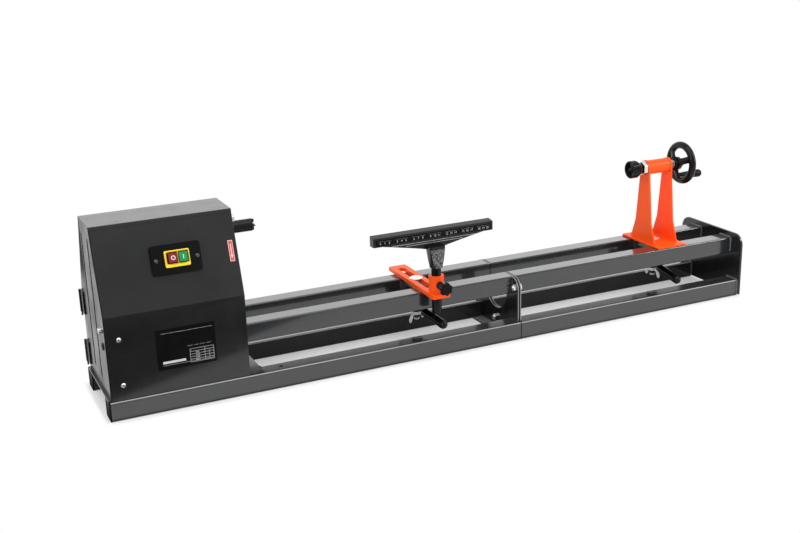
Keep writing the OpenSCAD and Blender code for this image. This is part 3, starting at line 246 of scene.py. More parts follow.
M["oxide"] = material("black_oxide", (0.005, 0.005, 0.0055), 0.30, tone=0.25, tone_scale=40,
                      bump=0.15, bump_scale=900, spec=0.25)
M["plastic"] = material("black_plastic", (0.004, 0.004, 0.004), 0.34, tone=0.15, bump=0.2,
                        bump_scale=1500, spec=0.12)
M["cap"] = material("cap_plastic", (0.0035, 0.0035, 0.0035), 0.55, tone=0.15, bump=0.2,
                    bump_scale=1500, spec=0.03)
M["zinc"] = material("zinc_plate", (0.84, 0.85, 0.86), 0.24, metal=1.0, tone=0.10,
                     tone_scale=70, bump=0.08, bump_scale=900, rough_var=0.10)
M["zinc_pale"] = material("pale_zinc_plate", (0.88, 0.86, 0.82), 0.26, metal=0.55, tone=0.06,
                          tone_scale=70, bump=0.05, bump_scale=900)
M["zinc_cast"] = material("zinc_cast", (0.90, 0.91, 0.92), 0.28, metal=0.15, tone=0.14,
                          tone_scale=90, bump=0.5, bump_scale=420, rough_var=0.12)
M["steel"] = material("turned_steel", (0.56, 0.56, 0.58), 0.24, metal=1.0, tone=0.08,
                      tone_scale=40, bump=0.10, bump_scale=500, stretch=(6, 1, 1))
M["alloy"] = material("cast_alloy", (0.62, 0.63, 0.65), 0.38, metal=1.0, tone_scale=60,
                      bump=0.35, bump_scale=500)
M["motor"] = material("motor_paint", (0.10, 0.11, 0.12), 0.45, coat=0.3, tone=0.15,
                      bump=0.25, bump_scale=700)
M["rubber"] = material("belt_rubber", (0.014, 0.014, 0.014), 0.7, tone=0.3, tone_scale=80,
                       bump=0.4, bump_scale=900)
M["yellow"] = material("yellow_plastic", (0.80, 0.62, 0.020), 0.34, tone=0.05,
                       tone_scale=60, bump=0.06, bump_scale=1200)
M["red"] = material("red_button", (0.20, 0.008, 0.016), 0.30, tone_scale=90, bump=0.06,
                    bump_scale=1200)
M["green"] = material("green_button", (0.006, 0.24, 0.075), 0.30, tone=0.10,
                      tone_scale=90, bump=0.06, bump_scale=1200)
M["pink"] = material("stop_sign_print", (0.80, 0.62, 0.66), tone=0.06, bump=0.05)
M["mint"] = material("start_sign_print", (0.45, 0.80, 0.62), tone=0.06, bump=0.05)
M["white"] = material("white_print", (0.72, 0.72, 0.72), 0.42, tone=0.05, tone_scale=60,
                      bump=0.05)
M["plate_print"] = material("plate_print", (0.52, 0.52, 0.52), 0.42, tone=0.10, tone_scale=60,
                            bump=0.05)
M["scale_print"] = material("scale_print", (0.42, 0.42, 0.42), 0.42, tone=0.25, tone_scale=90,
                            bump=0.05)
M["label"] = material("black_label", (0.0035, 0.0035, 0.0035), 0.34, tone=0.2,
                      bump=0.03, bump_scale=900, spec=0.10)
M["red_label"] = material("red_label", (0.72, 0.055, 0.035), 0.35, tone=0.05, bump=0.04)

# painted highlight: lighter paint along the lower tubes' front corner, in place of the light the
# rounded corner catches
over(M["rail_low"], lambda nt, at, way: mul(nt, span(nt, mul(nt, way["Y"], -1.0), 0.30, 0.55),
                                            span(nt, way["Z"], 0.30, 0.55)),
     (0.30, 0.30, 0.31), 0.30)
# the dark seam where two tubes butt
for key in ("rail_low", "rail_seam"):
    over(M[key], lambda nt, at, way: near(nt, at["X"], 0.0, 0.0006, 0.0008),
         (0.002, 0.002, 0.002), 0.60, 0.1)
# painted highlight on the joint plates' front and arch edges, with painted shade for the gap
# between the two plates
over(M["plate_edge"], lambda nt, at, way: near(nt, at["X"], 0.0, 0.0012, 0.0010),
     (0.002, 0.002, 0.002), 0.50, 0.1)
# the door's two pressed grooves and its turned-in back edge lie in shade
over(M["door"], lambda nt, at, way: mul(
    nt, near(nt, at["Z"], GROOVE_Z * MM, 0.128, 0.006),
    near(nt, mathn(nt, "ABSOLUTE", at["Y"]), GROOVE_Y * MM, 0.0042, 0.0022)),
     (0.0015, 0.0015, 0.0015), 0.7, 0.05)
over(M["door"], lambda nt, at, way: mul(nt, span(nt, at["Y"], 0.036, 0.041),
                                        span(nt, at["Z"], 0.205, 0.270)),
     (0.0020, 0.0020, 0.0022), 0.6, 0.08)


# --- building tools
def link(ob):
    """Puts the object in the scene."""
    scene.collection.objects.link(ob)
    return ob


def shade(me, angle=32):
    """Smooth shading, with edges sharper than angle (degrees) kept hard."""
    me.polygons.foreach_set("use_smooth", [True] * len(me.polygons))
    me.set_sharp_from_angle(angle=math.radians(angle))


def piece(name, bm, mat, body, angle=32, replaces=()):
    """Makes the shape in bm a piece of its own, on a body of the frame."""
    me = bpy.data.meshes.new(name)
    bmesh.ops.recalc_face_normals(bm, faces=bm.faces)
    bm.to_mesh(me)
    bm.free()
    shade(me, angle)
    me.materials.append(M[mat])
    ob = link(bpy.data.objects.new(name, me))
    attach(ob, body)
    if replaces:
        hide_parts(*replaces)
    return ob


def applied(ob):
    """Makes an object's modifiers part of its mesh."""
    dg = bpy.context.evaluated_depsgraph_get()
    me = bpy.data.meshes.new_from_object(ob.evaluated_get(dg))
    old = ob.data
    ob.modifiers.clear()
    ob.data = me
    bpy.data.meshes.remove(old)


def round_edges(ob, width, segments, limit=30):
    """Rounds the edges sharper than limit (degrees)."""
    mod = ob.modifiers.new("edge", "BEVEL")
    mod.harden_normals = True
    mod.width = width * MM
    mod.segments = segments
    mod.limit_method = "ANGLE"
    mod.angle_limit = math.radians(limit)
    mod.use_clamp_overlap = True
    applied(ob)


def dress(node, mat, width=0.6, segments=2, limit=35):
    """The node's own shape with its sharp edges rounded off."""
    src = NODES[node]
    bm = bmesh.new()
    bm.from_mesh(src.data)
    bmesh.ops.remove_doubles(bm, verts=bm.verts, dist=2e-6)
    bmesh.ops.dissolve_limit(bm, angle_limit=math.radians(0.6), verts=bm.verts,
                             edges=bm.edges)
    me = bpy.data.meshes.new(node + "_edged")
    bm.to_mesh(me)
    bm.free()
    me.materials.clear()
    me.materials.append(M[mat])
    shade(me)
    ob = link(bpy.data.objects.new(node + "_edged", me))
    round_edges(ob, width, segments, limit)
    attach(ob, src["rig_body"])
    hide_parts(node)
    return ob


def keep(node, mat):
    """Shows the node itself in the given material."""
    ob = NODES[node]
    ob.data.materials.clear()
    ob.data.materials.append(M[mat])


def plane(origin, x, y):
    """The 4x4 matrix (mm) of a plane through origin with the directions x and y."""
    x = Vector(x).normalized()
    y = Vector(y).normalized()
    m = Matrix((x, y, x.cross(y))).transposed().to_4x4()
    m.translation = Vector(origin)
    return m


def front_plane(x, y, z):
    """X along the bed, Y up, Z to the front."""
    return plane((x, y, z), (1, 0, 0), (0, 0, 1))


def cross_plane(x, y, z):
    """X to the back, Y up, Z along the bed."""
    return plane((x, y, z), (0, 1, 0), (0, 0, 1))


def turned_plane(x, turn):
    """The floor plane under a clamp bolt at x, turned (radians)."""
    c, s = math.cos(turn), math.sin(turn)
    return plane((x, 0, 0), (c, s, 0), (-s, c, 0))


def on_slope(x, s):
    """The plane of the sloping front: X along the bed, Y up the slope, Z outward."""
    up = Vector((0, math.cos(LEAN), math.sin(LEAN)))
    o = Vector((x, -HEAD_HALF, KNEE_Z)) + up * s
    return plane(o, (1, 0, 0), up)


def banjo_place(x, y, z):
    """A place given along and across the turned banjo."""
    c, s = math.cos(TURN), math.sin(TURN)
    return (REST_X + x * c - y * s, x * s + y * c, z)


def axes(direction):
    """The direction as a unit vector, and two more square to it."""
    a = Vector(direction).normalized()
    u = a.orthogonal().normalized()
    return a, u, a.cross(u)


def circle(bm, centre, u, v, count, radius):
    """A ring of vertices around centre; radius in mm or a function of the angle."""
    ring = []
    for k in range(count):
        a = 2 * math.pi * k / count
        r = radius(a) if callable(radius) else radius
        ring.append(bm.verts.new((centre + (u * math.cos(a) + v * math.sin(a)) * r) * MM))
    return ring


def bridge(bm, rings, closed=False):
    """Joins each ring to the next; a ring of one vertex is a pole."""
    pairs = list(zip(rings[:-1], rings[1:]))
    if closed:
        pairs.append((rings[-1], rings[0]))
    for A, B in pairs:
        count = max(len(A), len(B))
        if count == 1:
            continue
        for k in range(count):
            n = (k + 1) % count
            if len(A) == 1:
                bm.faces.new((A[0], B[k], B[n]))
            elif len(B) == 1:
                bm.faces.new((A[k], A[n], B[0]))
            else:
                bm.faces.new((A[k], A[n], B[n], B[k]))


def capped(bm, rings):
    """Joins the rings into a body with flat ends."""
    bridge(bm, rings)
    bm.faces.new(list(reversed(rings[0])))
    bm.faces.new(rings[-1])


def revolve(bm, profile, origin, axis, segs, closed=False):
    """Adds a turned shape. profile: (along, radius) in mm; origin mm; axis: direction."""
    a, u, v = axes(axis)
    rings = []
    for t, r in profile:
        o = Vector(origin) + a * t
        rings.append(circle(bm, o, u, v, segs, r) if r > 0 else [bm.verts.new(o * MM)])
    bridge(bm, rings, closed)


def on_axis(bm, profile, segs, closed=False):
    """Adds a shape turned around the spindle axis; profile: (x, radius)."""
    revolve(bm, profile, (0, 0, AXIS_Z), (1, 0, 0), segs, closed)


def slab(bm, pts, frame_m, z0, z1):
    """Adds a prism: pts in mm in the plane of frame_m (4x4, mm), from z0 to z1."""
    lo, hi = [[bm.verts.new((frame_m @ Vector((p[0], p[1], z))) * MM) for p in pts]
              for z in (z0, z1)]
    bm.faces.new(list(reversed(lo)))
    bm.faces.new(hi)
    bridge(bm, [lo, hi])


def rrect(w, h, r, n=5, cx=0.0, cy=0.0):
    """A rectangle w x h around (cx, cy) with corners of radius r in n steps."""
    pts = []
    for (sx, sy, a0) in ((1, 1, 0), (-1, 1, 90), (-1, -1, 180), (1, -1, 270)):
        for k in range(n + 1):
            a = math.radians(a0 + 90 * k / n)
            pts.append((cx + sx * (w / 2 - r) + r * math.cos(a),
                        cy + sy * (h / 2 - r) + r * math.sin(a)))
    return pts


def arc(cx, cy, r, a0, a1, n):
    """n + 1 points on an arc; angles in degrees."""
    angles = [math.radians(a0 + (a1 - a0) * k / n) for k in range(n + 1)]
    return [(cx + r * math.cos(a), cy + r * math.sin(a)) for a in angles]


RIPPLE, LUMPS, BEAD_END = 0.132, 0.35, 0.35        # parts of a weld bead's radius


def bead(name, pts, r, body, mat, seed, step=1.3):
    """A weld bead: a lumpy round seam along the points (mm)."""
    P = []
    for a, b in zip(pts[:-1], pts[1:]):
        a, b = Vector(a), Vector(b)
        n = max(1, int((b - a).length / step))
        P += [a.lerp(b, k / n) for k in range(n)]
    P.append(Vector(pts[-1]))
    last = len(P) - 1
    bm = bmesh.new()
    rings = []
    for i, p in enumerate(P):
        _, u, v = axes(P[min(i + 1, last)] - P[max(i - 1, 0)])
        rr = r * (1 + RIPPLE * math.sin(i * 1.9)
                  + LUMPS * noise.noise(Vector((i * 0.37, seed * 7.3, 1.7))))
        if i in (0, last):
            rr *= BEAD_END
        rings.append(circle(bm, p, u, v, 8, rr))
    capped(bm, rings)
    piece(name, bm, mat, body, angle=70)


def thread(bm, origin, axis, length, r_out, pitch, depth, segs):
    """Adds a screw thread as one helical skin."""
    a, u, v = axes(axis)
    o = Vector(origin)
    prof = [(0.0, r_out - depth), (0.38, r_out), (0.5, r_out), (0.88, r_out - depth)]
    n = int(length / pitch * segs)
    rows = []
    for i in range(n + 1):
        t = i / segs
        d = u * math.cos(2 * math.pi * t) + v * math.sin(2 * math.pi * t)
        along = [min(length, max(0.0, (t + f - 0.5) * pitch)) for f, r in prof]
        rows.append([bm.verts.new((o + a * z + d * r) * MM) for z, (f, r) in zip(along, prof)])
    for i in range(n):
        A, B = rows[i], rows[i + 1]
        for k in range(len(prof) - 1):
            bm.faces.new((A[k], A[k + 1], B[k + 1], B[k]))
        if i + segs < n:
            C, D = rows[i + segs], rows[i + segs + 1]
            bm.faces.new((A[-1], C[0], D[0], B[-1]))


def ring_print(bm, m, cx, cy, r0, r1, z0, z1, n=40):
    """Adds a flat ring between the radii r0 and r1."""
    rows = []
    for k in range(n):
        a = 2 * math.pi * k / n
        pts = [Vector((cx + r * math.cos(a), cy + r * math.sin(a), z))
               for r, z in ((r0, z0), (r1, z0), (r1, z1), (r0, z1))]
        rows.append([bm.verts.new((m @ p) * MM) for p in pts])
    bridge(bm, rows, closed=True)


def text_mesh(bm, body, size, frame_m, cx, cy, lift):
    """Adds plain digits as flat mesh in the given plane (mm)."""
    cu = bpy.data.curves.new("digits", "FONT")
    cu.body = body
    cu.size = size
    cu.align_x = "CENTER"
    cu.align_y = "CENTER"
    cu.resolution_u = 3
    cu.extrude = 0.05
    tmp = link(bpy.data.objects.new("digits", cu))
    dg = bpy.context.evaluated_depsgraph_get()
    me = bpy.data.meshes.new_from_object(tmp.evaluated_get(dg))
    vs = [bm.verts.new((frame_m @ Vector((v.co.x + cx, v.co.y + cy, v.co.z + lift))) * MM)
          for v in me.vertices]
    for p in me.polygons:
        try:
            bm.faces.new([vs[i] for i in p.vertices])
        except ValueError:      # the outline names this face twice
            pass
    bpy.data.objects.remove(tmp)
    bpy.data.meshes.remove(me)


def bent(value, power):
    """A power that keeps the sign."""
    return math.copysign(abs(value) ** power, value)


# --- bed
# the lower tubes carry the painted highlight along their front corner
for n in ("left_lower_rails", "right_lower_rails"):
    keep(n, "rail_low")
for n in ("left_upper_rails", "right_upper_rails"):
    keep(n, "rail")
for n in ("left_joint_plate", "right_joint_plate"):
    ob = dress(n, "plate", 0.95, 3)
    ob.data.materials.append(M["plate_edge"])
    ob.data.materials.append(M["rail_seam"])
    # front and arch edges take the painted highlight and gap shade; the other edges take the rail
    # paint with its seam
    for f in ob.data.polygons:
        if abs(f.normal.x) < 0.8:
            front = f.center.y < -0.060 and f.center.z > 0.038
            arch = f.normal.z > 0.2 and abs(f.center.y) < 0.046 and f.center.z < 0.089
            f.material_index = 1 if (front or arch) else 2
dress("end_plate", "plate", 0.9, 3)
dress("headstock_base", "plate", 0.4)
dress("rail_end_caps", "cap", 0.7, 3)
dress("joint_bolts", "zinc", 0.35)

# the weld metal that fills the gap between the tubes where the arch cuts the plates
GAP_Y, GAP_DEEP, GAP_Z = 33.4, 9.0, 109.0
bm = bmesh.new()
for s, side in SIDES:
    lo, hi = sorted((-s * GAP_Y, -s * (GAP_Y + GAP_DEEP)))
    slab(bm, rrect(7.8, 27.0, 1.0, 3, 0.0, GAP_Z), front_plane(0, 0, 0), lo, hi)
piece("joint_gap_fill", bm, "rail_seam", "frame", 40)

for s, side in SIDES:
    # the tubes' ends on the end plate
    x = BED_RIGHT - 0.4
    for (y0, z1, tag) in ((UPPER_Y, BED_TOP, "upper"), (LOWER_Y, TUBE, "lower")):
        y1, z0 = y0 + TUBE, z1 - TUBE
        path = ((y0 + 0.2, z0 + 4), (y0 + 0.2, z1 - 3), (y0 + 1.5, z1), (y1 - 1.5, z1),
                (y1 - 0.2, z1 - 3), (y1 - 0.2, z0 + 4))
        bead("weld_end_%s_%s" % (tag, side), [(x, s * y, z) for y, z in path], 2.7,
             "frame", "weld", seed=y0 + s)
    # the upper and lower tubes on the joint plates
    for end, x in (("left", -4.4), ("right", 4.4)):
        path = ((34.5, 131.1), (69.4, 131.1), (71.2, 128.5), (71.2, 97.5))
        bead("weld_joint_%s_%s" % (end, side), [(x, s * y, z) for y, z in path], 1.1,
             "frame", "rail", seed=9 + s + x)
        bead("weld_foot_%s_%s" % (end, side), [(x, s * y, TUBE + 0.4) for y in (66, 96)], 1.2,
             "frame", "plate", seed=19 + s + x)
    # two tacks on the headstock base, and the upper tubes on the headstock
    x = RAIL_X0 + 299
    for k, y in enumerate((70, 90)):
        bead("weld_base_%d_%s" % (k, side),
             [(x, s * y - 4, 39.0), (x + 0.3, s * y, 39.2), (x, s * y + 4, 39.0)], 2.0,
             "frame", "plate", seed=29 + k + s)
    x = HEAD_X1 + 0.4
    path = ((34, 132.3), (69, 132.3), (71.0, 128.5), (71.0, 98))
    bead("weld_head_" + side, [(x, s * y, z) for y, z in path], 1.2,
         "frame", "rail", seed=41 + s)

# --- headstock
dress("front_panel", "housing", 0.5, 3, limit=14)
dress("back_panel", "housing", 0.5, 3, limit=14)
dress("top_panel", "housing", 0.55, 3)
dress("right_side_plate", "housing", 0.5)
keep("door_frame", "housing")
dress("side_door", "door", 0.3, 2)
keep("inner_plate", "zinc")
dress("panel_screws", "zinc", 0.25)
dress("switch_screws", "screw_dim", 0.2)
dress("bearing_bolts", "zinc", 0.35)
dress("door_screw", "zinc", 0.4, 2)
dress("hinge_leaves", "oxide", 0.5)
dress("door_leaves", "oxide", 0.5)
dress("cable_gland", "plastic", 0.3)
keep("bearing_housings", "alloy")
keep("bearings", "steel")
keep("motor", "motor")
keep("motor_shaft", "steel")
keep("motor_pulley", "alloy")
keep("spindle_pulley", "alloy")
keep("spindle", "steel")
keep("drive_belt", "rubber")
dress("drive_centre", "oxide", 0.35)

# a ring bushing in the hole below the latch screw
bm = bmesh.new()
revolve(bm, [(0, 6.2), (-1.2, 7.6), (-1.6, 7.2), (-1.6, 5.2), (0.4, 4.4), (1.4, 4.4), (1.4, 6.0)],
        (HEAD_X0, -75, 140), (1, 0, 0), 40, closed=True)
piece("door_grommet", bm, "plastic", "side_door", 40)

# painted shade: near-black slabs on the floors of the door's two pressed grooves
groove_floor = plane((HEAD_X0 + 1.35, 0, 0), (0, -1, 0), (0, 0, 1))
bm = bmesh.new()
for s, side in SIDES:
    slab(bm, rrect(GROOVE_W, GROOVE_H, 1.0, 3, s * GROOVE_Y, GROOVE_Z), groove_floor, 0.0, 0.12)
piece("door_groove_painted_shade", bm, "label", "side_door")

# --- switch: a yellow frame around two buttons, on a black box
dress("switch_box", "plastic", 1.4, 3)
slope = on_slope(SWITCH_X, SWITCH_S)
BOX_FACE = 12.0
BUTTON_FACE = BOX_FACE + 3 + 4
STOP_X, START_X, BUTTON_S = -8.0, 11.0, 2.0
bm = bmesh.new()
outer = rrect(46.5, 31, 2.5, 5, 0.5, 0.5)
inner = rrect(39.5, 20.5, 1.6, 5, 1.5, 2.0)
levels = [(outer, 0.02), (outer, 1.9), (rrect(45.7, 30.2, 2.3, 5, 0.5, 0.5), 2.7),
          (rrect(44.5, 29.0, 2.0, 5, 0.5, 0.5), 3.0), (rrect(42.6, 24.6, 1.8, 5, 1.1, 1.4), 2.9),
          (rrect(40.4, 21.4, 1.7, 5, 1.5, 2.0), 1.2), (inner, 0.4), (inner, 0.02)]
bridge(bm, [[bm.verts.new((slope @ Vector((p[0], p[1], BOX_FACE + z))) * MM) for p in ring]
            for ring, z in levels], closed=True)
piece("switch_bezel", bm, "yellow", "frame", 40, replaces=("switch_frame",))
bm = bmesh.new()
slab(bm, rrect(1.4, 20.4, 0.4, 2, 2.2, 2.0), slope, BOX_FACE, BOX_FACE + 1.6)
piece("switch_divider", bm, "yellow", "frame", 40)
dress("stop_button", "red", 0.9, 3)
dress("start_button", "green", 0.9, 3)
bm = bmesh.new()
ring_print(bm, slope, STOP_X, BUTTON_S, 2.6, 4.2, BUTTON_FACE, BUTTON_FACE + 0.15)
piece("stop_sign", bm, "pink", "stop_button")
bm = bmesh.new()
slab(bm, rrect(1.5, 8.2, 0.3, 2, START_X, BUTTON_S), slope, BUTTON_FACE, BUTTON_FACE + 0.15)
piece("start_sign", bm, "mint", "start_button")

# direction sticker: white edge, red field, plain arrow
dress("direction_sticker", "white", 0.1, 1)
sticker = on_slope(STICKER_X, STICKER_S)
bm = bmesh.new()
slab(bm, rrect(7.4, 37.6, 0.5, 3), sticker, 0.30, 0.36)
piece("sticker_field", bm, "red_label", "frame")
bm = bmesh.new()
slab(bm, [(-0.6, 13), (-0.6, -8), (-2.4, -8), (0, -14), (2.4, -8), (0.6, -8), (0.6, 13)],
     sticker, 0.36, 0.42)
ring_print(bm, sticker, 0, 0, 0.1, 0.2, 0.3, 0.31, 8)      # out of sight in the red field
piece("sticker_arrow", bm, "white", "frame")

# rating plate: bare and black, with thin rules and a small table of plain numbers
dress("data_plate", "label", 0.15, 1)
rating = front_plane(PLATE_X, -HEAD_HALF - 0.6, 120.75)
PRINT_T = 0.06
TABLE_X, TABLE_Z, ROW = (6, 34, 51), (-33, -7), 5.2
bm = bmesh.new()


def rule(x0, y0, x1, y1, w):
    """A printed rule, level or upright."""
    if abs(x1 - x0) > abs(y1 - y0):
        pts = [(x0, y0 - w / 2), (x1, y0 - w / 2), (x1, y0 + w / 2), (x0, y0 + w / 2)]
    else:
        pts = [(x0 - w / 2, y0), (x0 + w / 2, y0), (x0 + w / 2, y1), (x0 - w / 2, y1)]
    slab(bm, pts, rating, 0.0, PRINT_T)


for k in range(6):
    rule(TABLE_X[0], TABLE_Z[0] + k * ROW, TABLE_X[2], TABLE_Z[0] + k * ROW, 0.5)
for x in TABLE_X:
    rule(x, TABLE_Z[0], x, TABLE_Z[1], 0.5)
for k, (a, b) in enumerate((("2510", "4"), ("1750", "3"), ("1250", "2"), ("850", "1"))):
    text_mesh(bm, a, 4.0, rating, 20, -30.4 + k * ROW, 0.03)
    text_mesh(bm, b, 4.0, rating, 42.5, -30.4 + k * ROW, 0.03)
slab(bm, rrect(43, 4.6, 0.4, 2, -24.5, -25.6), rating, 0.0, PRINT_T)
rule(-46, -31.0, 51, -31.0, 0.35)
rule(-46, 31.5, 51, 31.5, 0.35)
for k in range(4):
    rule(2 + 12 * k, 0, 11 + 12 * k, 0, 0.35)
piece("speed_table", bm, "plate_print", "frame")

# --- tool rest
dress("banjo", "orange", 0.7, 3)
bead("weld_sleeve", [banjo_place(x, y, BANJO_TOP + 0.3)
                     for x, y in arc(0.0, -POST_OUT, 15.9, 0, 360, 32)],
     1.3, "banjo", "orange", seed=51, step=1.6)
keep("rest_post", "black_gloss")

# cast tool rest: bar, web with two ribs, and a neck that runs from flat to round
BAR_H, BAR_T, BAR_RISE, BAR_Y = 18.5, 17.0, 2.5, 3.0
BAR_END, BAR_X0 = 5.0, POST_X + BAR_SHIFT - BAR_LEN / 2
STRIP_Z0, STRIP_Z1 = BAR_Z + 2.7, BAR_Z + 13.8         # the scale strip, in a recess
WEB_Y, WEB_T, WEB_IN, WEB_END = 5.0, 10.0, 17.0, 118.0
NECK_TOP, NECK_LOW, BORE_R = 231.0, 193.0, 10.15
along = cross_plane(BAR_X0, POST_Y, 0)
bar_side = [(BAR_Y, BAR_Z), (BAR_Y + BAR_T, BAR_Z), (BAR_Y + BAR_T, BAR_Z + BAR_H + BAR_RISE),
            (BAR_Y + 1, BAR_Z + BAR_H), (BAR_Y, BAR_Z + BAR_H - 1)]
recess = [(BAR_Y, STRIP_Z1 + 0.2), (BAR_Y + 0.8, STRIP_Z1 + 0.2),
          (BAR_Y + 0.8, STRIP_Z0 - 0.4), (BAR_Y, STRIP_Z0 - 0.4)]
bm = bmesh.new()
slab(bm, bar_side + recess, along, BAR_END, BAR_LEN - BAR_END)
for x in (0.0, BAR_LEN - BAR_END):
    slab(bm, bar_side, along, x, x + BAR_END)
bmesh.ops.remove_doubles(bm, verts=bm.verts, dist=2e-6)
bar = piece("tool_rest_bar", bm, "cast", "tool_rest", replaces=("rest_head",))
round_edges(bar, 0.7, 3)

web_plane = front_plane(POST_X, POST_Y + WEB_Y, 0)
edge = [(WEB_IN + (WEB_END - WEB_IN) * t, NECK_TOP + (BAR_Z - NECK_TOP) * (t ** 0.92))
        for t in (k / 12 for k in range(13))]
under = [(BAR_SHIFT - x, z) for x, z in reversed(edge)] + [(BAR_SHIFT + x, z) for x, z in edge]
bm = bmesh.new()
slab(bm, [(BAR_SHIFT + WEB_END, BAR_Z + 1), (BAR_SHIFT - WEB_END, BAR_Z + 1)] + under,
     web_plane, -WEB_T, 0.0)
web = piece("tool_rest_web", bm, "cast", "tool_rest", 20)
round_edges(web, 1.2, 3, 50)

# two ribs under the bar, in light grey: a painted highlight where their tops catch the light
bm = bmesh.new()
for (half, z, out) in ((96.0, BAR_Z - 3.4, 1.6), (64.0, BAR_Z - 7.6, 1.2)):
    slab(bm, [(-half, z), (half, z), (half - 2, z + 0.8), (-half + 2, z + 0.8)],
         web_plane, -0.5, out)
piece("tool_rest_ribs", bm, "rib_painted_highlight", "tool_rest")

NECK_R, NECK_WIDE, NECK_THIN = 13.4, 17.4, 10.5        # round below, wide and flat above
STEPS, ROUND = 15, 72
bm = bmesh.new()
rings = []
for i in range(STEPS + 1):
    z = NECK_LOW + (NECK_TOP + 6.0 - NECK_LOW) * i / STEPS
    f = min(1.0, (z - NECK_LOW) / (NECK_TOP - NECK_LOW))
    half_x = NECK_R + (NECK_WIDE - NECK_R) * f ** 1.6
    half_y = NECK_R + (NECK_THIN - NECK_R) * f
    power = 2.0 / (2.0 + 7.0 * f * f * (3 - 2 * f))
    rings.append([bm.verts.new(Vector((POST_X + half_x * bent(math.cos(u), power),
                                       POST_Y + 0.5 * f + half_y * bent(math.sin(u), power),
                                       z)) * MM)
                  for u in (2 * math.pi * k / ROUND for k in range(ROUND))])
bridge(bm, rings)
bm.faces.new(rings[-1])
bore = [circle(bm, Vector((POST_X, POST_Y, z)), Vector((1, 0, 0)), Vector((0, 1, 0)), ROUND, BORE_R)
        for z in (NECK_LOW, NECK_TOP - 10)]
bridge(bm, [rings[0]] + bore)
bm.faces.new(bore[1])
neck = piece("tool_rest_neck", bm, "cast", "tool_rest", 50)
neck.data.materials.append(M["cast_rough"])
for f in neck.data.polygons:
    if f.normal.y < -0.86 and NECK_LOW * MM < f.center.z < (NECK_TOP + 1) * MM:
        f.material_index = 1

# the scale: groups of three numbers, with four ticks above each number
keep("rest_scale", "label")
strip = front_plane(BAR_X0 + 5.3, POST_Y + BAR_Y + PLAY, STRIP_Z0)
STRIP_W, TICK_Z, GROUP, NEXT = BAR_LEN - 10.6, 7.2, 36.6, 9.6
bm = bmesh.new()
for g in range(7):
    for j in range(3):
        x = 10.0 + g * GROUP + j * NEXT
        if x > STRIP_W - 6:
            break
        text_mesh(bm, str(3 * g + j), 6.0, strip, x, 3.4, 0.03)
        for k in range(4):
            tick = x - 3.6 + k * 2.4
            slab(bm, [(tick - 0.15, TICK_Z), (tick + 0.15, TICK_Z), (tick + 0.15, TICK_Z + 1.4),
                      (tick - 0.15, TICK_Z + 1.4)], strip, 0.0, 0.05)
piece("scale_marks", bm, "scale_print", "tool_rest")

# --- the clamps of tool rest and tailstock
DOME_R, DOME_H, DOME_EDGE = 14.0, 4.5, 0.35
SHANK_R, THREAD_LEN = 5.95, 38.8
UP = (0, 0, 1)


def bolt(name, x, seat, node, body, turn, neck):
    """A carriage bolt: low dome, square neck, plain shank and rolled thread."""
    bm = bmesh.new()
    ball = (DOME_R * DOME_R + DOME_H * DOME_H) / (2 * DOME_H)
    prof = [(0.0, 0.0), (0.0, DOME_R - 0.6), (DOME_EDGE, DOME_R)]
    for k in range(1, 14):
        z = DOME_EDGE + (DOME_H - DOME_EDGE) * k / 14
        prof.append((z, min(DOME_R, math.sqrt(ball * ball - (z + ball - DOME_H) ** 2))))
    prof.append((DOME_H, 0.0))
    revolve(bm, prof, (x, 0, seat), UP, 72)
    if neck:
        slab(bm, rrect(12, 12, 0.6, 2), turned_plane(x, turn), seat - neck, seat + 0.3)
    revolve(bm, [(0, 0.0), (0, 4.6), (1.2, 5.3), (1.2, 5.25), (40.0, 5.25), (40.0, SHANK_R),
                 (seat - BOLT_LOW, SHANK_R), (seat - BOLT_LOW, 0.0)], (x, 0, BOLT_LOW), UP, 48)
    thread(bm, (x, 0, BOLT_LOW + 1.2), UP, THREAD_LEN, 5.98, 1.75, 0.95, 36)
    piece(name, bm, "zinc_pale", body, 38, replaces=(node,))


bolt("rest_bolt_turned", REST_X, BANJO_TOP + PLAY, "rest_clamp_bolt", "rest_bolt", TURN, 4.0)
bolt("tail_bolt_turned", TAIL_X, BED_TOP + 4.6, "tail_clamp_bolt", "tailstock", 0.0, 0)
dress("rest_clamp_plate", "oxide", 0.8, 2)
dress("tail_clamp_plate", "oxide", 0.8, 2)

LEVER_REACH, GRIP_LEN, GRIP_R, LEVER_DROP = 102.0, 78.0, 9.25, math.radians(9.0)


def lever(name, x, node, body, turn):
    """A clamp lever: turned hub, tapering arm and a round grip with a domed end."""
    bm = bmesh.new()
    z0 = LEVER_TOP - LEVER_H
    revolve(bm, [(0, 6.05), (0, 10.8), (1.2, 12.0), (15.4, 12.0), (LEVER_H, 10.4),
                 (LEVER_H, 6.05)], (x, 0, z0), UP, 56, closed=True)
    way = (math.sin(turn) * math.cos(LEVER_DROP), -math.cos(turn) * math.cos(LEVER_DROP),
           -math.sin(LEVER_DROP))
    s0, end = LEVER_REACH - GRIP_LEN, LEVER_REACH - GRIP_R
    prof = [(8.0, 0.0), (8.0, 5.0), (s0 - 3, 5.0), (s0 - 1.5, 5.6), (s0, 6.6), (s0 + 0.6, 7.5),
            (s0 + 2.5, 8.1), (s0 + 6, 8.7), (s0 + 14, 9.1), (LEVER_REACH - 20, 9.0),
            (end - 1, GRIP_R)]
    prof += arc(end, 0, GRIP_R, 88, 0, 9)
    prof[-1] = (LEVER_REACH, 0.0)
    revolve(bm, prof, (x, 0, (z0 + LEVER_TOP) / 2), way, 48)
    piece(name, bm, "black_gloss", body, 45, replaces=(node,))


lever("rest_lever_turned", REST_X, "rest_lever", "rest_lever", math.radians(10.6))
lever("tail_lever_turned", TAIL_X, "tail_lever", "tail_lever", math.radians(-1.0))

BOSS_H = 14.04
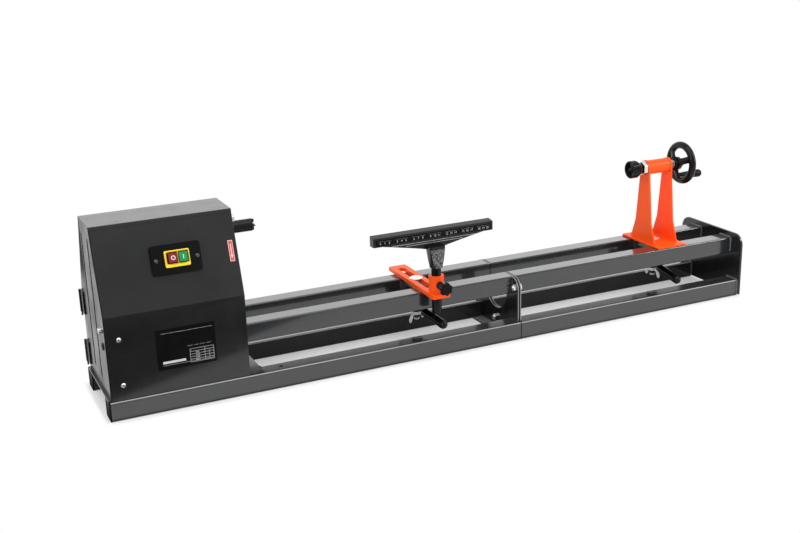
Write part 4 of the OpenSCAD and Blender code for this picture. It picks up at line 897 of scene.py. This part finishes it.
# a wing's stations: place outward, place below the top, half width, half thickness
WING = ((6.5, 4.0, 2.8, 2.6), (11.5, 4.6, 3.2, 2.1), (16.4, 8.8, 4.1, 1.9),
        (19.6, 14.2, 4.9, 1.9), (21.2, 19.4, 4.7, 1.8))
WING_TIP = (22.4, 24.2)


def wing_nut(name, x, node, body, turn):
    """A cast wing nut: round boss, two swept wings with fat rims."""
    bm = bmesh.new()
    revolve(bm, [(0, 6.05), (0, 7.6), (0.8, 8.5), (BOSS_H - 1.0, 10.9), (BOSS_H, 10.0),
                 (BOSS_H, 6.05)], (x, 0, WING_TOP - BOSS_H), UP, 48, closed=True)
    path = [Vector((out, WING_TOP - low)) for out, low, _, _ in WING]
    tip = Vector((WING_TIP[0], WING_TOP - WING_TIP[1], 0))
    for s in (1, -1):
        m = plane((x, 0, 0), (s * math.cos(turn), s * math.sin(turn), 0), UP)
        rings = []
        for i, (_, _, half, thick) in enumerate(WING):
            d = (path[min(len(path) - 1, i + 1)] - path[max(0, i - 1)]).normalized()
            ring = []
            for k in range(12):
                t = 2 * math.pi * k / 12
                q = path[i] + Vector((-d.y, d.x)) * (half * bent(math.cos(t), 0.7))
                ring.append(bm.verts.new(
                    (m @ Vector((q.x, q.y, thick * bent(math.sin(t), 0.7)))) * MM))
            rings.append(ring)
        bridge(bm, rings + [[bm.verts.new((m @ tip) * MM)]])
        bm.faces.new(list(reversed(rings[0])))
    ob = piece(name, bm, "zinc_cast", body, 60, replaces=(node,))
    smooth = ob.modifiers.new("round", "SUBSURF")
    smooth.levels = smooth.render_levels = 1
    applied(ob)
    # the boss is duller than the wings
    ob.data.materials.append(M["screw_dim"])
    for f in ob.data.polygons:
        reach = (f.center - Vector((x * MM, 0, f.center.z))).length
        if reach < 10.6 * MM and f.center.z < (WING_TOP - 6.5) * MM:
            f.material_index = 1
    shade(ob.data, 60)


wing_nut("rest_wing_cast", REST_X, "rest_wing_nut", "rest_wing_nut", math.radians(26))
wing_nut("tail_wing_cast", TAIL_X, "tail_wing_nut", "tail_wing_nut", math.radians(-86))

# star knob: seven soft lobes, a domed face and a collar
LOBES, LOBE_R, LOBE_DEEP = 7, 13.75, 2.6
knob = Vector(banjo_place(0, -POST_OUT - 15.5 - PLAY, BANJO_TOP + 17.5))
out, u, v = axes((math.sin(TURN), -math.cos(TURN), 0))
bm = bmesh.new()
rings = []
for (t, f) in ((21.5, 0.66), (21.6, 0.80), (22.2, 0.92), (23.8, 1.0), (27, 1.0), (30.6, 1.0),
               (32.5, 0.95), (33.3, 0.84), (33.5, 0.62), (33.1, 0.34)):
    rings.append(circle(bm, knob + out * t, u, v, 98, lambda a: LOBE_R * f - LOBE_DEEP * f * f * (
        0.5 - 0.5 * math.cos(LOBES * a)) ** 1.4))
bm.faces.new(list(reversed(rings[0])))
bridge(bm, rings + [[bm.verts.new((knob + out * 32.9) * MM)]])
revolve(bm, [(-5.2, 0.0), (-5.2, 3.6), (-4.8, 4.0), (0.0, 4.0), (0.0, 7.4), (0.6, 8.0),
             (21.6, 8.0), (21.6, 0.0)], knob, out, 48)
piece("star_knob_lobed", bm, "plastic", "star_knob", 40, replaces=("star_knob",))

# --- tailstock
dress("tailstock_base", "orange", 0.6, 3)
dress("tailstock_sides", "orange", 0.6, 3)
BASE_WELD_Z = BED_TOP + 4.7
for (x, tag) in ((TAIL_X0 + 4.2, "left_in"), (TAIL_X1 - 4.2, "right_in")):
    bead("weld_upright_" + tag, [(x, -43, BASE_WELD_Z), (x, 43, BASE_WELD_Z)], 1.5,
         "tailstock", "orange", seed=61 + x)
for (x, sx) in ((TAIL_X0 + 4.1, 1), (TAIL_X1 - 4.1, -1)):
    bead("weld_tube_%d" % sx, [(x, y, z) for y, z in arc(0.0, AXIS_Z, 16.2, 0, 360, 28)], 1.1,
         "tailstock", "orange", seed=71 + sx)
dress("lock_nut", "zinc", 1.0, 2)

# feed screw with its real thread and a hexagon nut (its width over the flats is 18)
CONE_X1 = TAIL_X0 - PLAY - 10.5 - 1
HEX_R = 18 / math.sqrt(3)
bm = bmesh.new()
on_axis(bm, [(CONE_X1 - 9, 0.0), (CONE_X1 - 9, 5.6), (CONE_X1 - 8.6, 6.0), (CONE_X1 + 0.3, 6.0),
             (CONE_X1 + 0.3, 7.7), (HUB_X1 + 0.3, 7.7), (HUB_X1 + 0.3, 6.0),
             (HUB_X1 + 9.4, 6.0), (HUB_X1 + 10, 5.4), (HUB_X1 + 10, 0.0)], 48)
thread(bm, (CONE_X1 + 0.3, 0, AXIS_Z), (1, 0, 0), HUB_X0 + 6 - CONE_X1, 9.0, 2.5, 1.3, 48)
slab(bm, arc(0, 0, HEX_R, 30, 330, 5), cross_plane(0, 0, AXIS_Z), HUB_X1 + 0.3, HUB_X1 + 7.3)
piece("feed_screw_threaded", bm, "steel", "feed_wheel", 35, replaces=("tail_screw",))

# live centre: turned cone and cup
CONE_X0 = CONE_X1 - 14
CUP_X1 = CONE_X0 - PLAY
CUP_X0 = CUP_X1 - 15.5
bm = bmesh.new()
on_axis(bm, [(CONE_X0, 7.0), (CONE_X0, 18.1), (CONE_X0 + 0.6, 18.7), (CONE_X0 + 1.4, 18.2),
             (CONE_X1 - 1.0, 12.5), (CONE_X1, 11.9), (CONE_X1, 6.05), (CONE_X1 - 9.3, 6.05),
             (CONE_X1 - 9.3, 0.0)], 64)
on_axis(bm, [(CONE_X0 + 0.5, 7.0), (CONE_X0 - 6.0, 7.0), (CONE_X0 - 6.3, 6.6),
             (CONE_X0 - 6.3, 0.0)], 48)
piece("centre_cone_turned", bm, "black_gloss", "live_centre", 30,
      replaces=("live_centre_body",))
bm = bmesh.new()
on_axis(bm, [(CUP_X1, 7.05), (CUP_X1, 18.6), (CUP_X1 - 1.0, 19.7), (CUP_X1 - 4.2, 19.7),
             (CUP_X1 - 4.6, 19.1), (CUP_X1 - 5.4, 19.1), (CUP_X1 - 5.8, 19.7),
             (CUP_X0 + 1.2, 19.7), (CUP_X0, 18.7), (CUP_X0, 18.1), (CUP_X0 + 0.5, 17.7),
             (CUP_X0 + 5.6, 16.5), (CUP_X0 + 6.0, 15.9), (CUP_X0 + 6.0, 8.4),
             (CUP_X0 + 5.6, 7.6), (CUP_X0 - 2.9, 0.7), (CUP_X0 - 3.0, 0.0)], 72)
on_axis(bm, [(CUP_X1, 7.05), (CUP_X0 + 8.0, 7.05), (CUP_X0 + 8.0, 0.0)], 72)
piece("centre_cup_turned", bm, "black_gloss", "live_cup", 30,
      replaces=("live_centre_cup",))

# handwheel: dished hub, oval spokes and a fat round rim, all in one casting
bm = bmesh.new()
on_axis(bm, [(HUB_X0, 9.05), (HUB_X0, 15.4), (HUB_X0 + 1.0, 16.4), (HUB_X0 + 3, 16.5),
             (HUB_X1 - 3, 15.2), (HUB_X1 - 1, 14.6), (HUB_X1, 13.6), (HUB_X1, 9.05)], 64,
        closed=True)
on_axis(bm, arc(RIM_CX, RIM_R, RIM_D / 2, 0, 345, 23), 120, closed=True)
for k in range(3):
    a = math.radians(22 + 120 * k)
    rad = Vector((0, -math.cos(a), math.sin(a)))
    tan = Vector((0, math.sin(a), math.cos(a)))
    rings = []
    # stations: distance from the axis, place along it, half width, half thickness
    for (r, x, half, thick) in ((11, 10, 8.4, 6.4), (18, 12.0, 7.9, 4.8), (25, 15.6, 7.5, 4.4),
                                (32, 19.2, 7.8, 4.6), (38.5, 22.6, 8.5, 5.4)):
        centre = Vector((HUB_X0 + x, 0, AXIS_Z)) + rad * r
        rings.append([bm.verts.new((centre + tan * half * math.cos(t)
                                    + Vector((thick * math.sin(t), 0, 0))) * MM)
                      for t in (2 * math.pi * j / 20 for j in range(20))])
    capped(bm, rings)
CRANK_AT = math.radians(-118)
crank = (0, -RIM_R * math.cos(CRANK_AT), AXIS_Z + RIM_R * math.sin(CRANK_AT))
CRANK_X0 = RIM_CX + RIM_D / 2 + PLAY
revolve(bm, [(RIM_CX, 0.0), (RIM_CX, 4.0), (CRANK_X0 + 59.5, 4.0), (CRANK_X0 + 59.5, 0.0)],
        crank, (1, 0, 0), 32)
piece("handwheel_cast", bm, "black_gloss", "feed_wheel", 40, replaces=("handwheel",))
bm = bmesh.new()
revolve(bm, [(CRANK_X0 + x, r) for x, r in (
    (0, 4.05), (0, 6.0), (0.8, 6.7), (6, 7.0), (20, 7.6), (38, 8.5), (53, 8.95), (57, 8.8),
    (60.5, 7.9), (62.5, 6.0), (63.4, 3.4), (63.5, 0.0))], crank, (1, 0, 0), 56)
piece("crank_knob_turned", bm, "plastic", "crank", 50, replaces=("crank_handle",))


# --- floor and room: the camera sees white, and the paper keeps the part's shadow, lifted under the bed by painted light
def seen(nt, ray):
    """1 for what the camera sees, straight, in a mirror or through a clear piece."""
    return most(nt, ray["Is Camera Ray"], ray["Is Glossy Ray"], ray["Is Transmission Ray"])


bm = bmesh.new()
bmesh.ops.create_grid(bm, x_segments=2, y_segments=2, size=9.0)
me = bpy.data.meshes.new("floor")
bm.to_mesh(me)
bm.free()
floor = link(bpy.data.objects.new("floor", me))
floor.location.z = -0.0004
paper = material("floor_paper", (0.86, 0.86, 0.865), 0.55, tone=0.01, tone_scale=3, bump=0.02,
                 bump_scale=300, rough_var=0.03)
me.materials.append(paper)
nt = paper.node_tree
into, lit = surface(nt)
place = add_node(nt, "ShaderNodeNewGeometry").outputs["Position"]
at = add_node(nt, "ShaderNodeSeparateXYZ", {0: place}).outputs
ray = add_node(nt, "ShaderNodeLightPath").outputs
mirror = ray["Is Glossy Ray"]
# 0 under the bed, 1 away from it (metres)
away = span(nt, most(nt, sub(nt, RAIL_X0 * MM, at["X"]), sub(nt, at["X"], 0.584),
                     sub(nt, -0.106, at["Y"]), sub(nt, at["Y"], 0.106)), -0.002, 0.014)
# painted reflection: to a mirror only, the paper in front of the bench turns dark beyond a slanting
# line, fading further out and towards the right
edge = mathn(nt, "ADD", mul(nt, mathn(nt, "ADD", at["X"], 0.823), -0.437), -0.190)
beyond = span(nt, sub(nt, edge, at["Y"]), -0.006, 0.030)
far = span(nt, mul(nt, at["Y"], -1.0), 0.45, 1.00)
right = span(nt, at["X"], -0.30, 0.20)
dark = mul(nt, beyond, sub(nt, 1.0, most(nt, mul(nt, far, 0.55), right)))
white = add_node(nt, "ShaderNodeEmission", {
    "Strength": sub(nt, 1.0, mul(nt, dark, mul(nt, mirror, 0.93)))})
# for the camera, plain white at 0.30 also over the paper under the bed: painted light that lifts
# the shadow there
lifted = mul(nt, ray["Is Camera Ray"], 0.30)
open_floor = add_node(nt, "ShaderNodeMixShader", {
    0: most(nt, mul(nt, away, seen(nt, ray)), lifted), 1: lit, 2: white.outputs[0]})
# painted shade in reflections: to a mirror, the paper under the bed is mostly a dim glow in place
# of its lit surface
dim = add_node(nt, "ShaderNodeEmission", {"Strength": 0.05})
whole = add_node(nt, "ShaderNodeMixShader", {
    0: mul(nt, sub(nt, 1.0, away), mul(nt, mirror, 0.8)), 1: open_floor.outputs[0],
    2: dim.outputs[0]})
nt.links.new(whole.outputs[0], into)

# the room: plain even light; a mirror sees white behind the part and a dimmer front
WHITE = (1, 1, 1, 1)
world = bpy.data.worlds.new("studio")
scene.world = world
world.use_nodes = True
nt = world.node_tree
nt.nodes.clear()
ray = add_node(nt, "ShaderNodeLightPath").outputs
way = add_node(nt, "ShaderNodeTexCoord").outputs["Generated"]
to_back = add_node(nt, "ShaderNodeSeparateXYZ", {0: way}).outputs["Y"]
glow = most(nt, map_range(nt, to_back, -0.85, 0.60, 0.55, 1.0), ray["Is Camera Ray"])
lighting = add_node(nt, "ShaderNodeBackground", {"Color": WHITE, "Strength": 0.85})
backdrop = add_node(nt, "ShaderNodeBackground", {"Color": WHITE, "Strength": glow})
room = add_node(nt, "ShaderNodeMixShader", {0: seen(nt, ray), 1: lighting.outputs[0],
                                            2: backdrop.outputs[0]})
add_node(nt, "ShaderNodeOutputWorld", {0: room.outputs[0]})

# lamps: place, target, width and height (metres), power (watts)
for name, loc, target, width, height, power in (
        ("key_top", (-0.5, -0.7, 2.6), (-0.1, 0.1, 0.0), 3.4, 2.2, 34),
        ("side_left", (-3.2, 0.1, 1.1), (-0.7, 0.0, 0.2), 1.8, 1.8, 4),
        ("back_strip", (0.2, 3.0, 1.05), (0.0, 0.0, 0.2), 5.6, 1.5, 5),
        ("strip_right", (2.1, -1.3, 1.3), (0.3, 0.0, 0.3), 0.16, 1.6, 26),
        ("strip_left", (-2.3, -1.9, 1.9), (-0.3, 0.0, 0.3), 0.14, 1.2, 12)):
    lamp = bpy.data.lights.new(name, "AREA")
    lamp.shape = "RECTANGLE"
    lamp.size, lamp.size_y = width, height
    lamp.energy = power
    ob = link(bpy.data.objects.new(name, lamp))
    ob.location = loc
    ob.rotation_euler = (Vector(target) - Vector(loc)).to_track_quat("-Z", "Y").to_euler()
    ob.visible_camera = False

# --- camera, fitted to the photograph
PHOTO_W, FOCAL_PX, SENSOR = 800.0, 1165.2059, 36.0
CAMERA_AT = (-1195.932, -2097.605, 900.699)
yaw, pitch, roll = map(math.radians, (24.6690, 17.5327, -1.6481))
lens = bpy.data.cameras.new("photo_camera")
cam = link(bpy.data.objects.new("photo_camera", lens))
lens.sensor_fit = "HORIZONTAL"
lens.sensor_width = SENSOR
lens.lens = FOCAL_PX * SENSOR / PHOTO_W
lens.clip_start = 0.05
lens.clip_end = 60
ahead = Vector((math.sin(yaw) * math.cos(pitch), math.cos(yaw) * math.cos(pitch),
                -math.sin(pitch)))
level = Vector((math.cos(yaw), -math.sin(yaw), 0))
up = level.cross(ahead)
cam_x = level * math.cos(roll) + up * math.sin(roll)
cam_y = -level * math.sin(roll) + up * math.cos(roll)
m = Matrix((cam_x, cam_y, -ahead)).transposed().to_4x4()
m.translation = Vector(CAMERA_AT) * MM
cam.matrix_world = m
scene.camera = cam
scene.view_settings.view_transform = "Standard"
